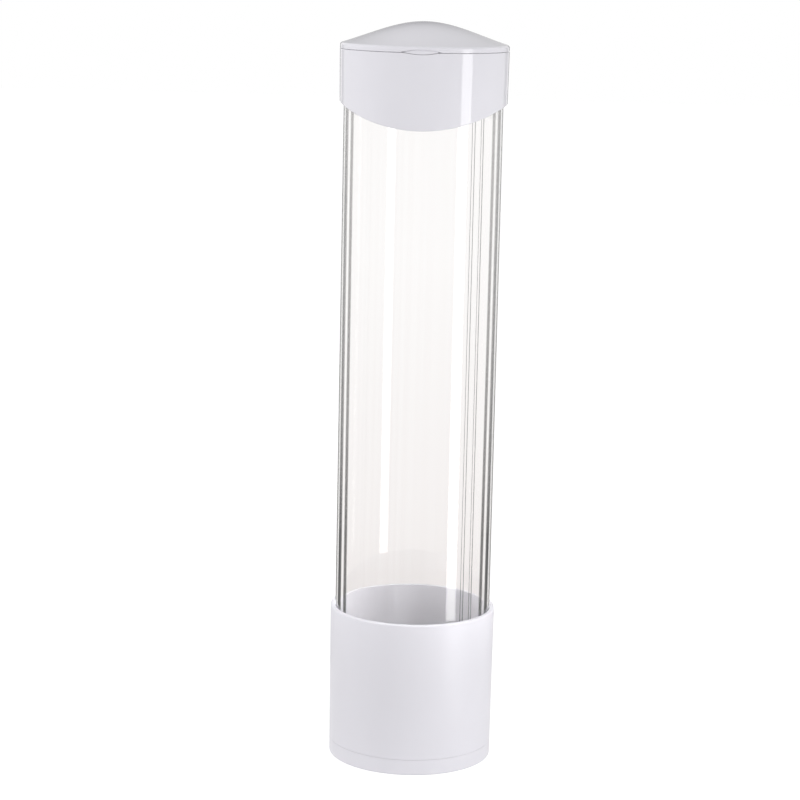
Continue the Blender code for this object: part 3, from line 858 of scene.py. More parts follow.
@dataclass(frozen=True)
class Levels:
    """Heights and radii that neighbouring pieces share."""

    socket_radius: float = 43.3 * MM
    bore_radius: float = 41.0 * MM
    key_half_width: float = 1.3 * MM
    key_reach: float = 44.1 * MM
    key_gap: float = 0.01 * MM
    pad_face: float = 48.5 * MM
    pad_half_width: float = 16.0 * MM
    pad_height: float = 30.0 * MM
    pad_corner: float = 4.0 * MM
    pad_edge_round: float = 0.35 * MM
    upper_pad_foot: float = 357.69 * MM
    lower_pad_foot: float = 30.0 * MM
    magnet_radius: float = 5.8 * MM
    magnet_thickness: float = 2.2 * MM
    magnet_half_spacing: float = 7.9 * MM
    magnet_gap: float = 0.2 * MM
    magnet_recess: float = 0.3 * MM
    hinge_axis: Place = (0.0, 45.6 * MM, 390.6 * MM)
    barrel_radius: float = 2.2 * MM
    swing_radius: float = 2.6 * MM
    hinge_pin_radius: float = 0.8 * MM
    hinge_bore_radius: float = 0.9 * MM
    knuckle_start: float = 5.3 * MM
    knuckle_end: float = 11.5 * MM
    tab_height: float = 392.08 * MM
    tab_half_height: float = 1.3 * MM
    tab_arc: float = 43.87 * MM
    tab_gap: float = 0.2 * MM
    tab_front: float = 45.7 * MM
    tab_bow: float = 24.0 * MM
    tab_sides: int = 360
    bow_height: float = 20.0 * MM
    root_lift: float = 0.5 * MM
    root_setback: float = 0.6 * MM
    notch_depth: float = 41.6 * MM
    overrun: float = 2.0 * MM

    def key_slots(self, foot: float, top: float) -> list[Item]:
        """Add the cutters of the two slots that the tube's ribs stand in.

        Args:
            foot: the slots' lowest height.
            top: their highest height.

        Returns:
            The cutters.
        """
        low = (self.bore_radius, -self.key_half_width, foot)
        high = (self.key_reach, self.key_half_width, top)
        return [Bench.block("key_slot", low, high, angle) for angle in KEY_ANGLES]

    def back_pad(self, name: str, foot: float) -> Item:
        """Add a flat pad that stands out at the back, with rounded corners and edges.

        Args:
            name: the pad's name.
            foot: its lowest height.

        Returns:
            The pad.
        """
        pad = Bench.block(
            name,
            (-self.pad_half_width, self.bore_radius - self.overrun, foot),
            (self.pad_half_width, self.pad_face, foot + self.pad_height),
        )

        def runs_back(first: Vector, second: Vector) -> bool:
            """Return whether an edge runs from front to back."""
            return abs(first.y - second.y) > MM

        def on_face(first: Vector, second: Vector) -> bool:
            """Return whether an edge lies on the pad's face."""
            return min(first.y, second.y) > self.pad_face - TOUCH

        Bench.bevel_edges(pad, runs_back, self.pad_corner, 10)
        Bench.bevel_edges(pad, on_face, self.pad_edge_round)
        return pad

    def magnet_places(self, pad_foot: float) -> dict[str, Place]:
        """Find where the two magnets of a pad stand on its face.

        Args:
            pad_foot: the pad's lowest height.

        Returns:
            Each magnet's side and place.
        """
        middle = pad_foot + self.pad_height / 2
        return {
            "left": (-self.magnet_half_spacing, self.pad_face, middle),
            "right": (self.magnet_half_spacing, self.pad_face, middle),
        }

    def pockets(self, pad_foot: float) -> list[Item]:
        """Add the cutters of a pad's magnet pockets.

        Args:
            pad_foot: the pad's lowest height.

        Returns:
            The cutters.
        """
        depth = self.magnet_recess + self.magnet_thickness + self.magnet_gap
        radius = self.magnet_radius + self.magnet_gap
        shift = (self.overrun - depth) / 2
        return [
            Bench.rod("pocket", radius, depth + self.overrun, (x, y + shift, z), ALONG_Y)
            for x, y, z in self.magnet_places(pad_foot).values()
        ]

    def lens(self, name: str, shrink: float = 0.0, lift: float = 0.0) -> Item:
        """Add a lens-shaped bar across the front seam, pointed at its two ends.

        Args:
            name: the bar's name.
            shrink: how much lower it is than the notch, above and below.
            lift: how much higher it lies than the notch.

        Returns:
            The bar, from the back of the notch to in front of the lid.
        """
        front = self.tab_front + 2 * self.overrun
        back = self.notch_depth + shrink
        drop = self.tab_arc - self.tab_half_height + shrink
        arcs = [
            Bench.rod(
                name,
                self.tab_arc,
                front - back,
                (0.0, -(front + back) / 2, self.tab_height + lift + side * drop),
                ALONG_Y,
                self.tab_sides,
            )
            for side in (-1, 1)
        ]
        Bench.combine(arcs[0], "INTERSECT", [arcs[1]])
        return arcs[0]

    def bowed(self, bar: Item, setback: float) -> Item:
        """Cut a bar's front to an upright bow.

        Args:
            bar: the bar.
            setback: how far behind the tab's front the bow lies.

        Returns:
            The bar.
        """
        centre = (0.0, self.tab_bow - self.tab_front, self.tab_height)
        radius = self.tab_bow - setback
        bow = Bench.rod("bow", radius, self.bow_height, centre, sides=ROUND_SIDES)
        Bench.combine(bar, "INTERSECT", [bow])
        return bar

    def tab(self) -> list[Item]:
        """Make the thumb tab and the root that ties it to the lid behind its groove.

        Returns:
            The root and the tab.
        """
        return [
            self.bowed(self.lens("root", self.tab_gap, self.root_lift), self.root_setback),
            self.bowed(self.lens("tab", self.tab_gap), 0.0),
        ]


LEVELS = Levels()


# Pieces


@dataclass
class ClearTube:
    """The extruded tube with two ribs along its back right side."""

    radius: float = 43.0 * MM
    wall: float = 2.0 * MM
    foot: float = 45.3 * MM
    length: float = 342.8 * MM
    rib_height: float = 0.8 * MM
    rib_round: float = 0.22 * MM
    rib_reach: float = 0.6
    corner_reach: float = 0.3
    end_round: float = 0.15 * MM

    def profile(self) -> list[Point]:
        """Draw the wall's section, with small chamfers at its ends.

        Returns:
            The section's corners.
        """
        inner, outer = self.radius - self.wall, self.radius
        foot, top = self.foot, self.foot + self.length
        small = self.end_round
        return [
            (inner, foot + small),
            (inner + small, foot),
            (outer - small, foot),
            (outer, foot + small),
            (outer, top - small),
            (outer - small, top),
            (inner + small, top),
            (inner, top - small),
        ]

    def build(self, finishes: Finishes) -> None:
        """Build the tube and dress it.

        Args:
            finishes: the dispenser's finishes.
        """
        tube = Bench.turned("clear_tube_clear", self.profile())
        middle = self.foot + self.length / 2

        def under_rib(centre: Vector, normal: Vector) -> bool:
            """Find whether a face of the outer wall lies under a rib.

            Args:
                centre: the face's centre.
                normal: its normal.

            Returns:
                Whether it does.
            """
            angle = math.atan2(centre.y, centre.x)
            return (
                abs(centre.z - middle) <= MM
                and math.hypot(centre.x, centre.y) >= self.radius - self.wall / 2
                and any(abs(angle - key) < self.rib_reach * SIDE_STEP for key in KEY_ANGLES)
            )

        def on_rib(first: Vector, second: Vector) -> bool:
            """Find whether an edge runs up along a rib's outer corner.

            Args:
                first: the edge's first end.
                second: its second end.

            Returns:
                Whether it does.
            """
            off_key = [abs(math.atan2(first.y, first.x) - key) for key in KEY_ANGLES]
            return (
                abs(first.z - second.z) > MM
                and any(abs(off - SIDE_STEP) < self.corner_reach * SIDE_STEP for off in off_key)
                and math.hypot(first.x, first.y) > self.radius + self.rib_height / 2
            )

        log.info("ribs raised from %d faces", Bench.mark(tube, "FACE", under_rib))
        bpy.ops.mesh.extrude_region_shrink_fatten(
            TRANSFORM_OT_shrink_fatten={"value": self.rib_height}
        )
        bpy.ops.object.mode_set(mode="OBJECT")
        Bench.bevel_edges(tube, on_rib, self.rib_round)
        Bench.smooth(tube)
        tube.visible_shadow = False
        finishes.dress(tube, Slot.CLEAR, "housing", "clear_tube")


@dataclass
class Collar:
    """The white sleeve round the tube's top, with its arched hem and hinge knuckles."""

    top: float = 391.7 * MM
    foot: float = 351.25 * MM
    top_radius: float = 45.5 * MM
    taper: float = 0.3 * MM
    upper_taper: float = 0.09 * MM
    taper_depth: float = 12.0 * MM
    flange_foot: float = 388.4 * MM
    mouth_chamfer: float = 0.3 * MM
    edge_round: float = 0.28 * MM
    hem_radius: float = 88.0 * MM
    hem_round: float = 0.45 * MM
    hem_sides: int = 1440
    hem_slack: float = 0.1 * MM
    pin_bore_length: float = 30.0 * MM

    def blank(self) -> Item:
        """Turn the sleeve and draw its lower edge to the hem's arc.

        Returns:
            The sleeve, before anything is joined or cut.
        """
        small = self.edge_round
        sleeve = Bench.turned(
            "collar_gloss",
            [
                (LEVELS.bore_radius + self.mouth_chamfer, self.top),
                *arc((self.top_radius - small, self.top - small), small, 90, 0, 4),
                (self.top_radius - self.upper_taper, self.top - self.taper_depth),
                (self.top_radius - self.taper, self.foot),
                (LEVELS.socket_radius, self.foot),
                (LEVELS.socket_radius, self.flange_foot),
                (LEVELS.bore_radius, self.flange_foot),
                (LEVELS.bore_radius, self.top - self.mouth_chamfer),
            ],
        )
        group = sleeve.vertex_groups.new(name="hem")
        lowest = [v.index for v in sleeve.data.vertices if v.co.z < self.foot + TOUCH]
        group.add(lowest, 1.0, "REPLACE")
        centre = (0.0, 0.0, self.foot + self.hem_radius)
        length = 4 * self.top_radius
        guide = Bench.rod("guide", self.hem_radius, length, centre, ALONG_Y, self.hem_sides)
        draw = sleeve.modifiers.new("hem", "SHRINKWRAP")
        draw.wrap_method = "PROJECT"
        draw.use_project_z = True
        draw.use_positive_direction = True
        draw.use_negative_direction = False
        draw.target = guide
        draw.vertex_group = "hem"
        Bench.apply(sleeve)
        Bench.discard(guide)
        sleeve.vertex_groups.clear()
        return sleeve

    def build(self, finishes: Finishes) -> None:
        """Build the collar and dress it.

        Args:
            finishes: the dispenser's finishes.
        """
        sleeve = self.blank()

        def on_hem(first: Vector, second: Vector) -> bool:
            """Find whether an edge runs along the outer or inner hem.

            Args:
                first: the edge's first end.
                second: its second end.

            Returns:
                Whether it does.
            """
            for end in (first, second):
                rise = self.hem_radius - math.sqrt(self.hem_radius**2 - end.x**2)
                if abs(end.z - self.foot - rise) > TOUCH:
                    return False
            reach = [math.hypot(end.x, end.y) for end in (first, second)]
            return abs(reach[0] - reach[1]) < self.hem_slack

        Bench.bevel_edges(sleeve, on_hem, self.hem_round)
        pad_foot, axis = LEVELS.upper_pad_foot, LEVELS.hinge_axis
        pad = LEVELS.back_pad("collar_pad", pad_foot)
        barrel = Bench.rod("barrel", LEVELS.barrel_radius, 2 * LEVELS.knuckle_end, axis, ALONG_X)
        Bench.combine(sleeve, "UNION", [pad, barrel])
        rods = (
            ("leaf_room", LEVELS.swing_radius, 2 * LEVELS.knuckle_start),
            ("pin_bore", LEVELS.hinge_bore_radius, self.pin_bore_length),
        )
        cuts = LEVELS.key_slots(self.foot - LEVELS.overrun, self.flange_foot - LEVELS.key_gap)
        cuts += [Bench.rod(name, radius, length, axis, ALONG_X) for name, radius, length in rods]
        cuts += [LEVELS.lens("notch"), *LEVELS.pockets(pad_foot)]
        Bench.combine(sleeve, "DIFFERENCE", cuts)
        finishes.dress(Bench.smooth(sleeve), Slot.GLOSS, "housing", "collar")


@dataclass
class Lid:
    """The domed lid with its rim, inner skirt, hinge leaf and thumb tab."""

    radius: float = 45.5 * MM
    foot: float = 391.86 * MM
    shoulder: float = 394.8 * MM
    shoulder_round: float = 1.6 * MM
    rise: float = 12.0 * MM
    wall: float = 2.0 * MM
    rim_wall: float = 2.8 * MM
    skirt_outer: float = 40.4 * MM
    skirt_inner: float = 38.9 * MM
    skirt_foot: float = 387.7 * MM
    parabola_share: float = 0.58
    edge_round: float = 0.28 * MM
    steps: int = 30
    fine_step: float = 0.0005
    fine_count: int = 400
    halvings: int = 40
    room_gap: float = 0.6 * MM
    leaf_low: Place = (-5.0 * MM, -1.8 * MM, 0.0)
    leaf_high: Place = (5.0 * MM, 2.18 * MM, 2.4 * MM)
    barrel_length: float = 9.98 * MM
    bore_length: float = 12.0 * MM

    def dome(self, radius: float) -> float:
        """Give the dome's height, a mix of a parabola and a bell.

        Args:
            radius: the distance from its middle.

        Returns:
            The height of its upper side.
        """
        share = radius / self.radius
        bell = (1 + math.cos(math.pi * share)) / 2
        mix = self.parabola_share * (1 - share**2) + (1 - self.parabola_share) * bell
        return self.shoulder + self.rise * mix

    def upper_side(self) -> list[Point]:
        """Draw the dome's profile, rounded over into the upright rim.

        The round touches both: its centre's height is halved in on until the
        nearest spot of the dome is the round's radius away.

        Returns:
            The profile from the dome's top to the rim.
        """
        centre = self.radius - self.shoulder_round
        radii = [self.radius * (1 - step * self.fine_step) for step in range(self.fine_count)]
        spots = [(radius, self.dome(radius)) for radius in radii]
        low, high = self.shoulder - 3 * self.shoulder_round, self.shoulder
        for _ in range(self.halvings):
            level = (low + high) / 2
            nearest = min(math.dist(spot, (centre, level)) for spot in spots)
            low, high = (level, high) if nearest > self.shoulder_round else (low, level)
        touch = min(spots, key=lambda spot: math.dist(spot, (centre, low)))
        start = math.degrees(math.atan2(touch[1] - low, touch[0] - centre))
        radii = [touch[0] * step / self.steps for step in range(self.steps)]
        points = [(radius, self.dome(radius)) for radius in radii]
        return points + arc((centre, low), self.shoulder_round, start, 0, 10)

    def profile(self) -> list[Point]:
        """Draw the lid's profile.

        Returns:
            The profile from the top of the dome round to its underside.
        """
        inner = self.radius - self.rim_wall
        under = self.shoulder - self.wall / 2
        small = self.edge_round
        count = self.steps * 2 // 3
        radii = [self.skirt_inner * step / count for step in range(count, -1, -1)]
        return [
            *self.upper_side(),
            *arc((self.radius - small, self.foot + small), small, 0, -90, 3),
            *arc((inner + small, self.foot + small), small, -90, -180, 3),
            (inner, under),
            (self.skirt_outer, under),
            (self.skirt_outer, self.skirt_foot + small),
            (self.skirt_outer - small, self.skirt_foot),
            (self.skirt_inner + small, self.skirt_foot),
            (self.skirt_inner, self.skirt_foot + small),
            *((radius, self.dome(radius) - self.wall) for radius in radii),
        ]

    def leaf(self) -> Item:
        """Make the hinge leaf, with its barrel and bore.

        Returns:
            The leaf.
        """
        axis = Vector(LEVELS.hinge_axis)
        leaf = Bench.block("leaf", axis + Vector(self.leaf_low), axis + Vector(self.leaf_high))
        barrel = Bench.rod("barrel", LEVELS.barrel_radius, self.barrel_length, axis, ALONG_X)
        Bench.combine(leaf, "UNION", [barrel])
        bore = Bench.rod("bore", LEVELS.hinge_bore_radius, self.bore_length, axis, ALONG_X)
        Bench.combine(leaf, "DIFFERENCE", [bore])
        return leaf

    def build(self, finishes: Finishes) -> None:
        """Build the lid and dress it.

        Args:
            finishes: the dispenser's finishes.
        """
        lid = Bench.turned("lid_gloss", self.profile(), closed=False)
        middle = (LEVELS.knuckle_start + LEVELS.knuckle_end) / 2
        length = LEVELS.knuckle_end - LEVELS.knuckle_start + self.room_gap
        rooms = [
            Bench.rod(
                "room", LEVELS.swing_radius, length, (x, *LEVELS.hinge_axis[1:]), ALONG_X
            )
            for x in (-middle, middle)
        ]
        Bench.combine(lid, "DIFFERENCE", [*rooms, LEVELS.lens("notch")])
        Bench.combine(lid, "UNION", [self.leaf(), *LEVELS.tab()])
        finishes.dress(Bench.smooth(lid), Slot.GLOSS, "lid", "lid")


@dataclass
class BaseShell:
    """The white sleeve that takes the tube's lower end."""

    foot: float = 8.76 * MM
    top: float = 85.0 * MM
    top_radius: float = 45.65 * MM
    foot_radius: float = 45.2 * MM
    taper_top: float = 66.0 * MM
    taper: float = 0.1 * MM
    lip_round: float = 1.0 * MM
    lip_chamfer: float = 0.3 * MM
    foot_round: float = 0.08 * MM
    foot_chamfer: float = 0.1 * MM
    seat_foot: float = 42.0 * MM
    seat_top: float = 45.0 * MM
    groove_radius: float = 44.3 * MM
    groove_foot: float = 10.2 * MM
    groove_top: float = 12.3 * MM
    entry_half_width: float = 4.8 * MM
    entry_depth: float = 0.7 * MM
    entry_overlap: float = 0.3 * MM
    entry_angles: tuple[float, ...] = (65.0, 155.0, 245.0, 335.0)
    core_gap: float = 0.4 * MM
    core_height: float = 40.0 * MM

    def profile(self) -> list[Point]:
        """Draw the shell's section.

        Returns:
            The section's corners, from its lip down and up again inside.
        """
        socket, bore = LEVELS.socket_radius, LEVELS.bore_radius
        lip, small = self.lip_round, self.foot_round
        return [
            (socket, self.top - self.lip_chamfer),
            (socket + self.lip_chamfer, self.top),
            *arc((self.top_radius - lip, self.top - lip), lip, 90, 0, 6),
            (self.top_radius - self.taper, self.taper_top),
            *arc((self.foot_radius - small, self.foot + small), small, 0, -90, 2),
            (socket + self.foot_chamfer, self.foot),
            (socket, self.foot + self.foot_chamfer),
            (socket, self.groove_foot),
            (self.groove_radius, self.groove_foot),
            (self.groove_radius, self.groove_top),
            (socket, self.groove_top),
            (socket, self.seat_foot),
            (bore, self.seat_foot),
            (bore, self.seat_top),
            (socket, self.seat_top),
        ]

    def trimmed_pad(self) -> Item:
        """Make the back pad, cut to stay behind the shell's inner wall.

        Returns:
            The pad.
        """
        pad = LEVELS.back_pad("base_pad", LEVELS.lower_pad_foot)
        radius = LEVELS.socket_radius + self.core_gap
        centre = (0.0, 0.0, LEVELS.lower_pad_foot + LEVELS.pad_height / 2)
        core = Bench.rod("core", radius, self.core_height, centre, sides=ROUND_SIDES)
        Bench.combine(pad, "DIFFERENCE", [core])
        return pad

    def build(self, finishes: Finishes) -> None:
        """Build the base shell and dress it.

        Args:
            finishes: the dispenser's finishes.
        """
        shell = Bench.turned("base_shell_satin", self.profile())
        Bench.combine(shell, "UNION", [self.trimmed_pad()])
        half, reach = self.entry_half_width, LEVELS.socket_radius + self.entry_depth
        low = (LEVELS.bore_radius, -half, self.foot - LEVELS.overrun)
        high = (reach, half, self.groove_foot + self.entry_overlap)
        angles = map(math.radians, self.entry_angles)
        cuts = [Bench.block("lug_entry", low, high, angle) for angle in angles]
        cuts += LEVELS.key_slots(self.seat_top + LEVELS.key_gap, self.top + LEVELS.overrun)
        cuts += LEVELS.pockets(LEVELS.lower_pad_foot)
        Bench.combine(shell, "DIFFERENCE", cuts)
        finishes.dress(Bench.smooth(shell), Slot.SATIN, "housing", "base_shell")


@dataclass
class BottomRing:
    """The ring that closes the base, with its spigot and bayonet lugs."""

    height: float = 8.66 * MM
    radius: float = 45.19 * MM
    edge_round: float = 0.8 * MM
    top_round: float = 0.08 * MM
    small: float = 0.2 * MM
    spigot_top: float = 12.0 * MM
    spigot_radius: float = 43.0 * MM
    spigot_bore: float = 41.2 * MM
    plate: float = 2.4 * MM
    outlet: float = 38.9 * MM
    outlet_round: float = 1.4 * MM
    lug_half_width: float = 4.5 * MM
    lug_depths: Point = (-0.9 * MM, 0.7 * MM)
    lug_drops: Point = (1.5 * MM, 0.25 * MM)
    lug_angles: tuple[float, ...] = (45.0, 135.0, 225.0, 315.0)

    def profile(self) -> list[Point]:
        """Draw the ring's section.

        Returns:
            The section's corners, from its spigot down and in to the outlet.
        """
        small, edge, top, inlet = self.small, self.edge_round, self.top_round, self.outlet_round
        return [
            (self.spigot_bore, self.spigot_top - small),
            (self.spigot_bore + small, self.spigot_top),
            (self.spigot_radius - small, self.spigot_top),
            (self.spigot_radius, self.spigot_top - small),
            (self.spigot_radius, self.height),
            *arc((self.radius - top, self.height - top), top, 90, 0, 2),
            *arc((self.radius - edge, edge), edge, 0, -90, 6),
            (self.outlet + inlet + small, 0.0),
            *arc((self.outlet + inlet, inlet), inlet, -90, -180, 8),
            (self.outlet, self.plate),
            (self.spigot_bore, self.plate),
        ]

    def build(self, finishes: Finishes) -> None:
        """Build the bottom ring and dress it.

        Args:
            finishes: the dispenser's finishes.
        """
        ring = Bench.turned("bottom_ring_satin", self.profile())
        low, high = (
            (self.spigot_radius + depth, side * self.lug_half_width, self.spigot_top - drop)
            for depth, side, drop in zip(self.lug_depths, (-1, 1), self.lug_drops)
        )
        angles = map(math.radians, self.lug_angles)
        Bench.combine(ring, "UNION", [Bench.block("lug", low, high, angle) for angle in angles])
        finishes.dress(Bench.smooth(ring), Slot.SATIN, "housing", "bottom_ring")


@dataclass
class PawlStations:
    """The carrier ring and the four sprung pawls with their pins and springs."""

    pivot_radius: float = 40.9866 * MM
    pivot_height: float = 33.0 * MM
    pin_radius: float = 0.8 * MM
    pin_length: float = 14.8 * MM
    pin_end_round: float = 0.15 * MM
    coil_radius: float = 1.35 * MM
    wire_radius: float = 0.25 * MM
    wire_resolution: int = 3
    wire_smooth_angle: float = math.radians(60)
    pitch: float = 0.95 * MM
    turns: int = 3
    swing: float = math.radians(28)
    fixed_leg: float = 5.2 * MM
    moving_leg: float = 7.2 * MM
    points_per_turn: int = 40
    edge_round: float = 0.18 * MM

    def place(self, side: Side) -> Matrix:
        """Return the placing of a station: its own +X points outwards."""
        shift = Matrix.Translation((self.pivot_radius, 0.0, self.pivot_height))
        return Matrix.Rotation(side.angle, 4, "Z") @ shift

    def pin(self) -> Item:
        """Turn the front pawl's pin, with chamfered ends.

        Returns:
            The pin.
        """
        centre = self.place(Side.FRONT).translation
        turn = (math.pi / 2, 0.0, Side.FRONT.angle)
        pin = Bench.rod("pin", self.pin_radius, self.pin_length, centre, turn, PIN_SIDES)
        Bench.soften(pin, self.pin_end_round)
        return Bench.smooth(pin)

    @property
    def sweep(self) -> float:
        """Return the angle that a spring's coil turns through."""
        return self.turns * math.tau + self.swing

    @property
    def half(self) -> float:
        """Return half the length of a spring's coil."""
        return self.pitch * self.sweep / math.tau / 2

    def wire_path(self) -> list[Vector]:
        """Draw the path of a spring's wire about its pawl's pivot.

        Returns:
            The path, from the fixed leg's end to the moving leg's end.
        """
        radius, half = self.coil_radius, self.half
        steps = round(self.sweep / math.tau * self.points_per_turn)
        path = [Vector((radius, -half, self.fixed_leg * share)) for share in (1.0, 0.5)]
        for step in range(steps + 1):
            angle = -self.sweep * step / steps
            across = -half + 2 * half * step / steps
            path.append(Vector((radius * math.cos(angle), across, radius * math.sin(angle))))
        down = Vector((-math.sin(self.swing), 0.0, -math.cos(self.swing)))
        last = path[-1]
        return path + [last + down * self.moving_leg * share for share in (0.5, 1.0)]

    def spring(self) -> Item:
        """Wind the front pawl's torsion spring as one unbroken wire.

        Returns:
            The spring.
        """
        placing = self.place(Side.FRONT)
        path = self.wire_path()
        curve = bpy.data.curves.new("spring", "CURVE")
        curve.dimensions = "3D"
        curve.bevel_depth = self.wire_radius
        curve.bevel_resolution = self.wire_resolution
        curve.use_fill_caps = True
        spline = curve.splines.new("POLY")
        spline.points.add(len(path) - 1)
        for point, spot in zip(spline.points, path):
            point.co = (*(placing @ spot), 1.0)
        Bench.pick(Bench.bring("spring", curve))
        bpy.ops.object.convert(target="MESH")
        item = bpy.context.object
        Bench.face_out()
        return Bench.smooth(item, self.wire_smooth_angle)

    def build(self, finishes: Finishes) -> None:
        """Build the carrier, and a pawl, pin and spring that are copied to each side.

        Args:
            finishes: the dispenser's finishes.
        """
        ring = Bench.softened_copy("pawl_carrier_soft", "pawl_carrier", self.edge_round)
        finishes.dress(ring, Slot.GREY, "housing", "pawl_carrier")
        pawl = Bench.softened_copy("pawl", "cup_pawl_front", self.edge_round)
        models = pawl, self.pin(), self.spring()
        for side in Side:
            word, body = side.word, f"pawl_{side.word}"
            turn = Matrix.Rotation(side.angle - Side.FRONT.angle, 4, "Z")
            names = f"cup_pawl_{word}_soft", f"pawl_pin_{word}_drawn", f"pawl_spring_{word}_wire"
            pawl, pin, spring = (
                Bench.copied(model, name, turn) for model, name in zip(models, names)
            )
            finishes.dress(pawl, Slot.GREY, body, f"cup_pawl_{word}")
            finishes.dress(pin, Slot.STEEL, "housing", f"pawl_pin_{word}")
            finishes.coat(spring, Slot.STEEL, f"pawl_spring_{word}")
            start, end = (
                tuple(self.place(side) @ Vector((0.0, across, 0.0)))
                for across in (-self.half, self.half)
            )
            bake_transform(spring)
        for model in models:
            Bench.discard(model)


@dataclass
class SmallMetal:
    """The lid's hinge pin and the magnets in the two back pads."""

    pin_end_round: float = 0.18 * MM
    magnet_edge_round: float = 0.3 * MM

    def hinge_pin(self) -> Item:
        """Turn the hinge pin, with chamfered ends.

        Returns:
            The pin.
        """
        radius, length = LEVELS.hinge_pin_radius, 2 * LEVELS.knuckle_end
        axis = LEVELS.hinge_axis
        pin = Bench.rod("hinge_pin_drawn", radius, length, axis, ALONG_X, PIN_SIDES)
        Bench.soften(pin, self.pin_end_round)
        return Bench.smooth(pin)

    def disc(self) -> Item:
        """Turn a magnet that is let in behind the origin, with rounded edges.

        Returns:
            The magnet.
        """
        inset = LEVELS.magnet_recess + LEVELS.magnet_thickness / 2
        radius, thickness = LEVELS.magnet_radius, LEVELS.magnet_thickness
        disc = Bench.rod("disc", radius, thickness, (0.0, -inset, 0.0), ALONG_Y)
        Bench.soften(disc, self.magnet_edge_round, 3)
        return Bench.smooth(disc)

    def build(self, finishes: Finishes) -> None:
        """Build the hinge pin, and one magnet that is copied to each pocket.

        Args:
            finishes: the dispenser's finishes.
        """
        finishes.dress(self.hinge_pin(), Slot.STEEL, "housing", "hinge_pin")
        disc = self.disc()
        feet = {"upper": LEVELS.upper_pad_foot, "lower": LEVELS.lower_pad_foot}
        for level, foot in feet.items():
            for side, place in LEVELS.magnet_places(foot).items():
                node = f"magnet_{level}_{side}"
                magnet = Bench.copied(disc, node + "_plated", Matrix.Translation(place))
                finishes.dress(magnet, Slot.NICKEL, "housing", node)
        Bench.discard(disc)


# Studio


@dataclass(frozen=True)
class Lamp:
    """A flat soft lamp that faces the dispenser, upright unless it is tilted down."""

    name: str
    azimuth: float
    distance: float
    width: float
    foot: float
    top: float
    radiance: float
    tilt: float = 0.0
    spread: float = 180.0
    in_gloss: bool = False
    in_diffuse: bool = True

    def build(self) -> None:
        """Set the lamp up; azimuth 0 is in front and grows to the right."""
        turn = math.radians(self.azimuth)
        light = bpy.data.lights.new(self.name, "AREA")
        light.shape = "RECTANGLE"
        light.size = self.width
        light.size_y = self.top - self.foot
        light.energy = self.radiance * math.pi * light.size * light.size_y
        if self.spread < 180.0:
            half = math.radians(self.spread) / 2
            light.spread = 2 * half
            light.energy *= 1 - half / math.tan(half)
        item = Bench.bring(self.name, light)
        away = Vector((math.sin(turn), -math.cos(turn), 0.0)) * self.distance
        item.location = away + Vector((0.0, 0.0, (self.foot + self.top) / 2))
        item.rotation_euler = (math.radians(90 - self.tilt), 0.0, turn)
        item.visible_camera = False
        item.visible_glossy = self.in_gloss
        item.visible_transmission = self.in_gloss
        item.visible_diffuse = self.in_diffuse


@dataclass(frozen=True)
class Card:
    """A flat card behind the dispenser that only gloss shows."""

    name: str
    low: Place
    high: Place
    tone: float
    fade: tuple[Place, Place] | None = None

    def faded(self, recipe: Recipe) -> Socket:
        """Let the tone fade to white away from the fade's middle.

        Args:
            recipe: the card's recipe.

        Returns:
            The tone.
        """
        middle, size = self.fade
        inputs = {
            "Vector": recipe.place,
            "Location": [-spot / wide for spot, wide in zip(middle, size)],
            "Scale": [1 / wide for wide in size],
        }
        away = recipe.length(recipe.add("Mapping", inputs).outputs["Vector"])
        return recipe.spread(away, self.tone, 1.0, UNIT, interpolation_type="SMOOTHSTEP")

    def build(self, turn: float) -> None:
        """Hang the card, turned about the tube's axis to face the camera.

        Args:
            turn: the camera's azimuth.
        """
        item = Bench.block(self.name, self.low, self.high, turn)
        recipe = Recipe(bpy.data.materials.new(self.name))
        strength = self.faded(recipe) if self.fade else self.tone
        recipe.show(recipe.add("Emission", {"Strength": strength}).outputs["Emission"])
        item.data.materials.append(recipe.owner)
        item.visible_camera = False
        item.visible_diffuse = False
        item.visible_shadow = False
        item.visible_transmission = False


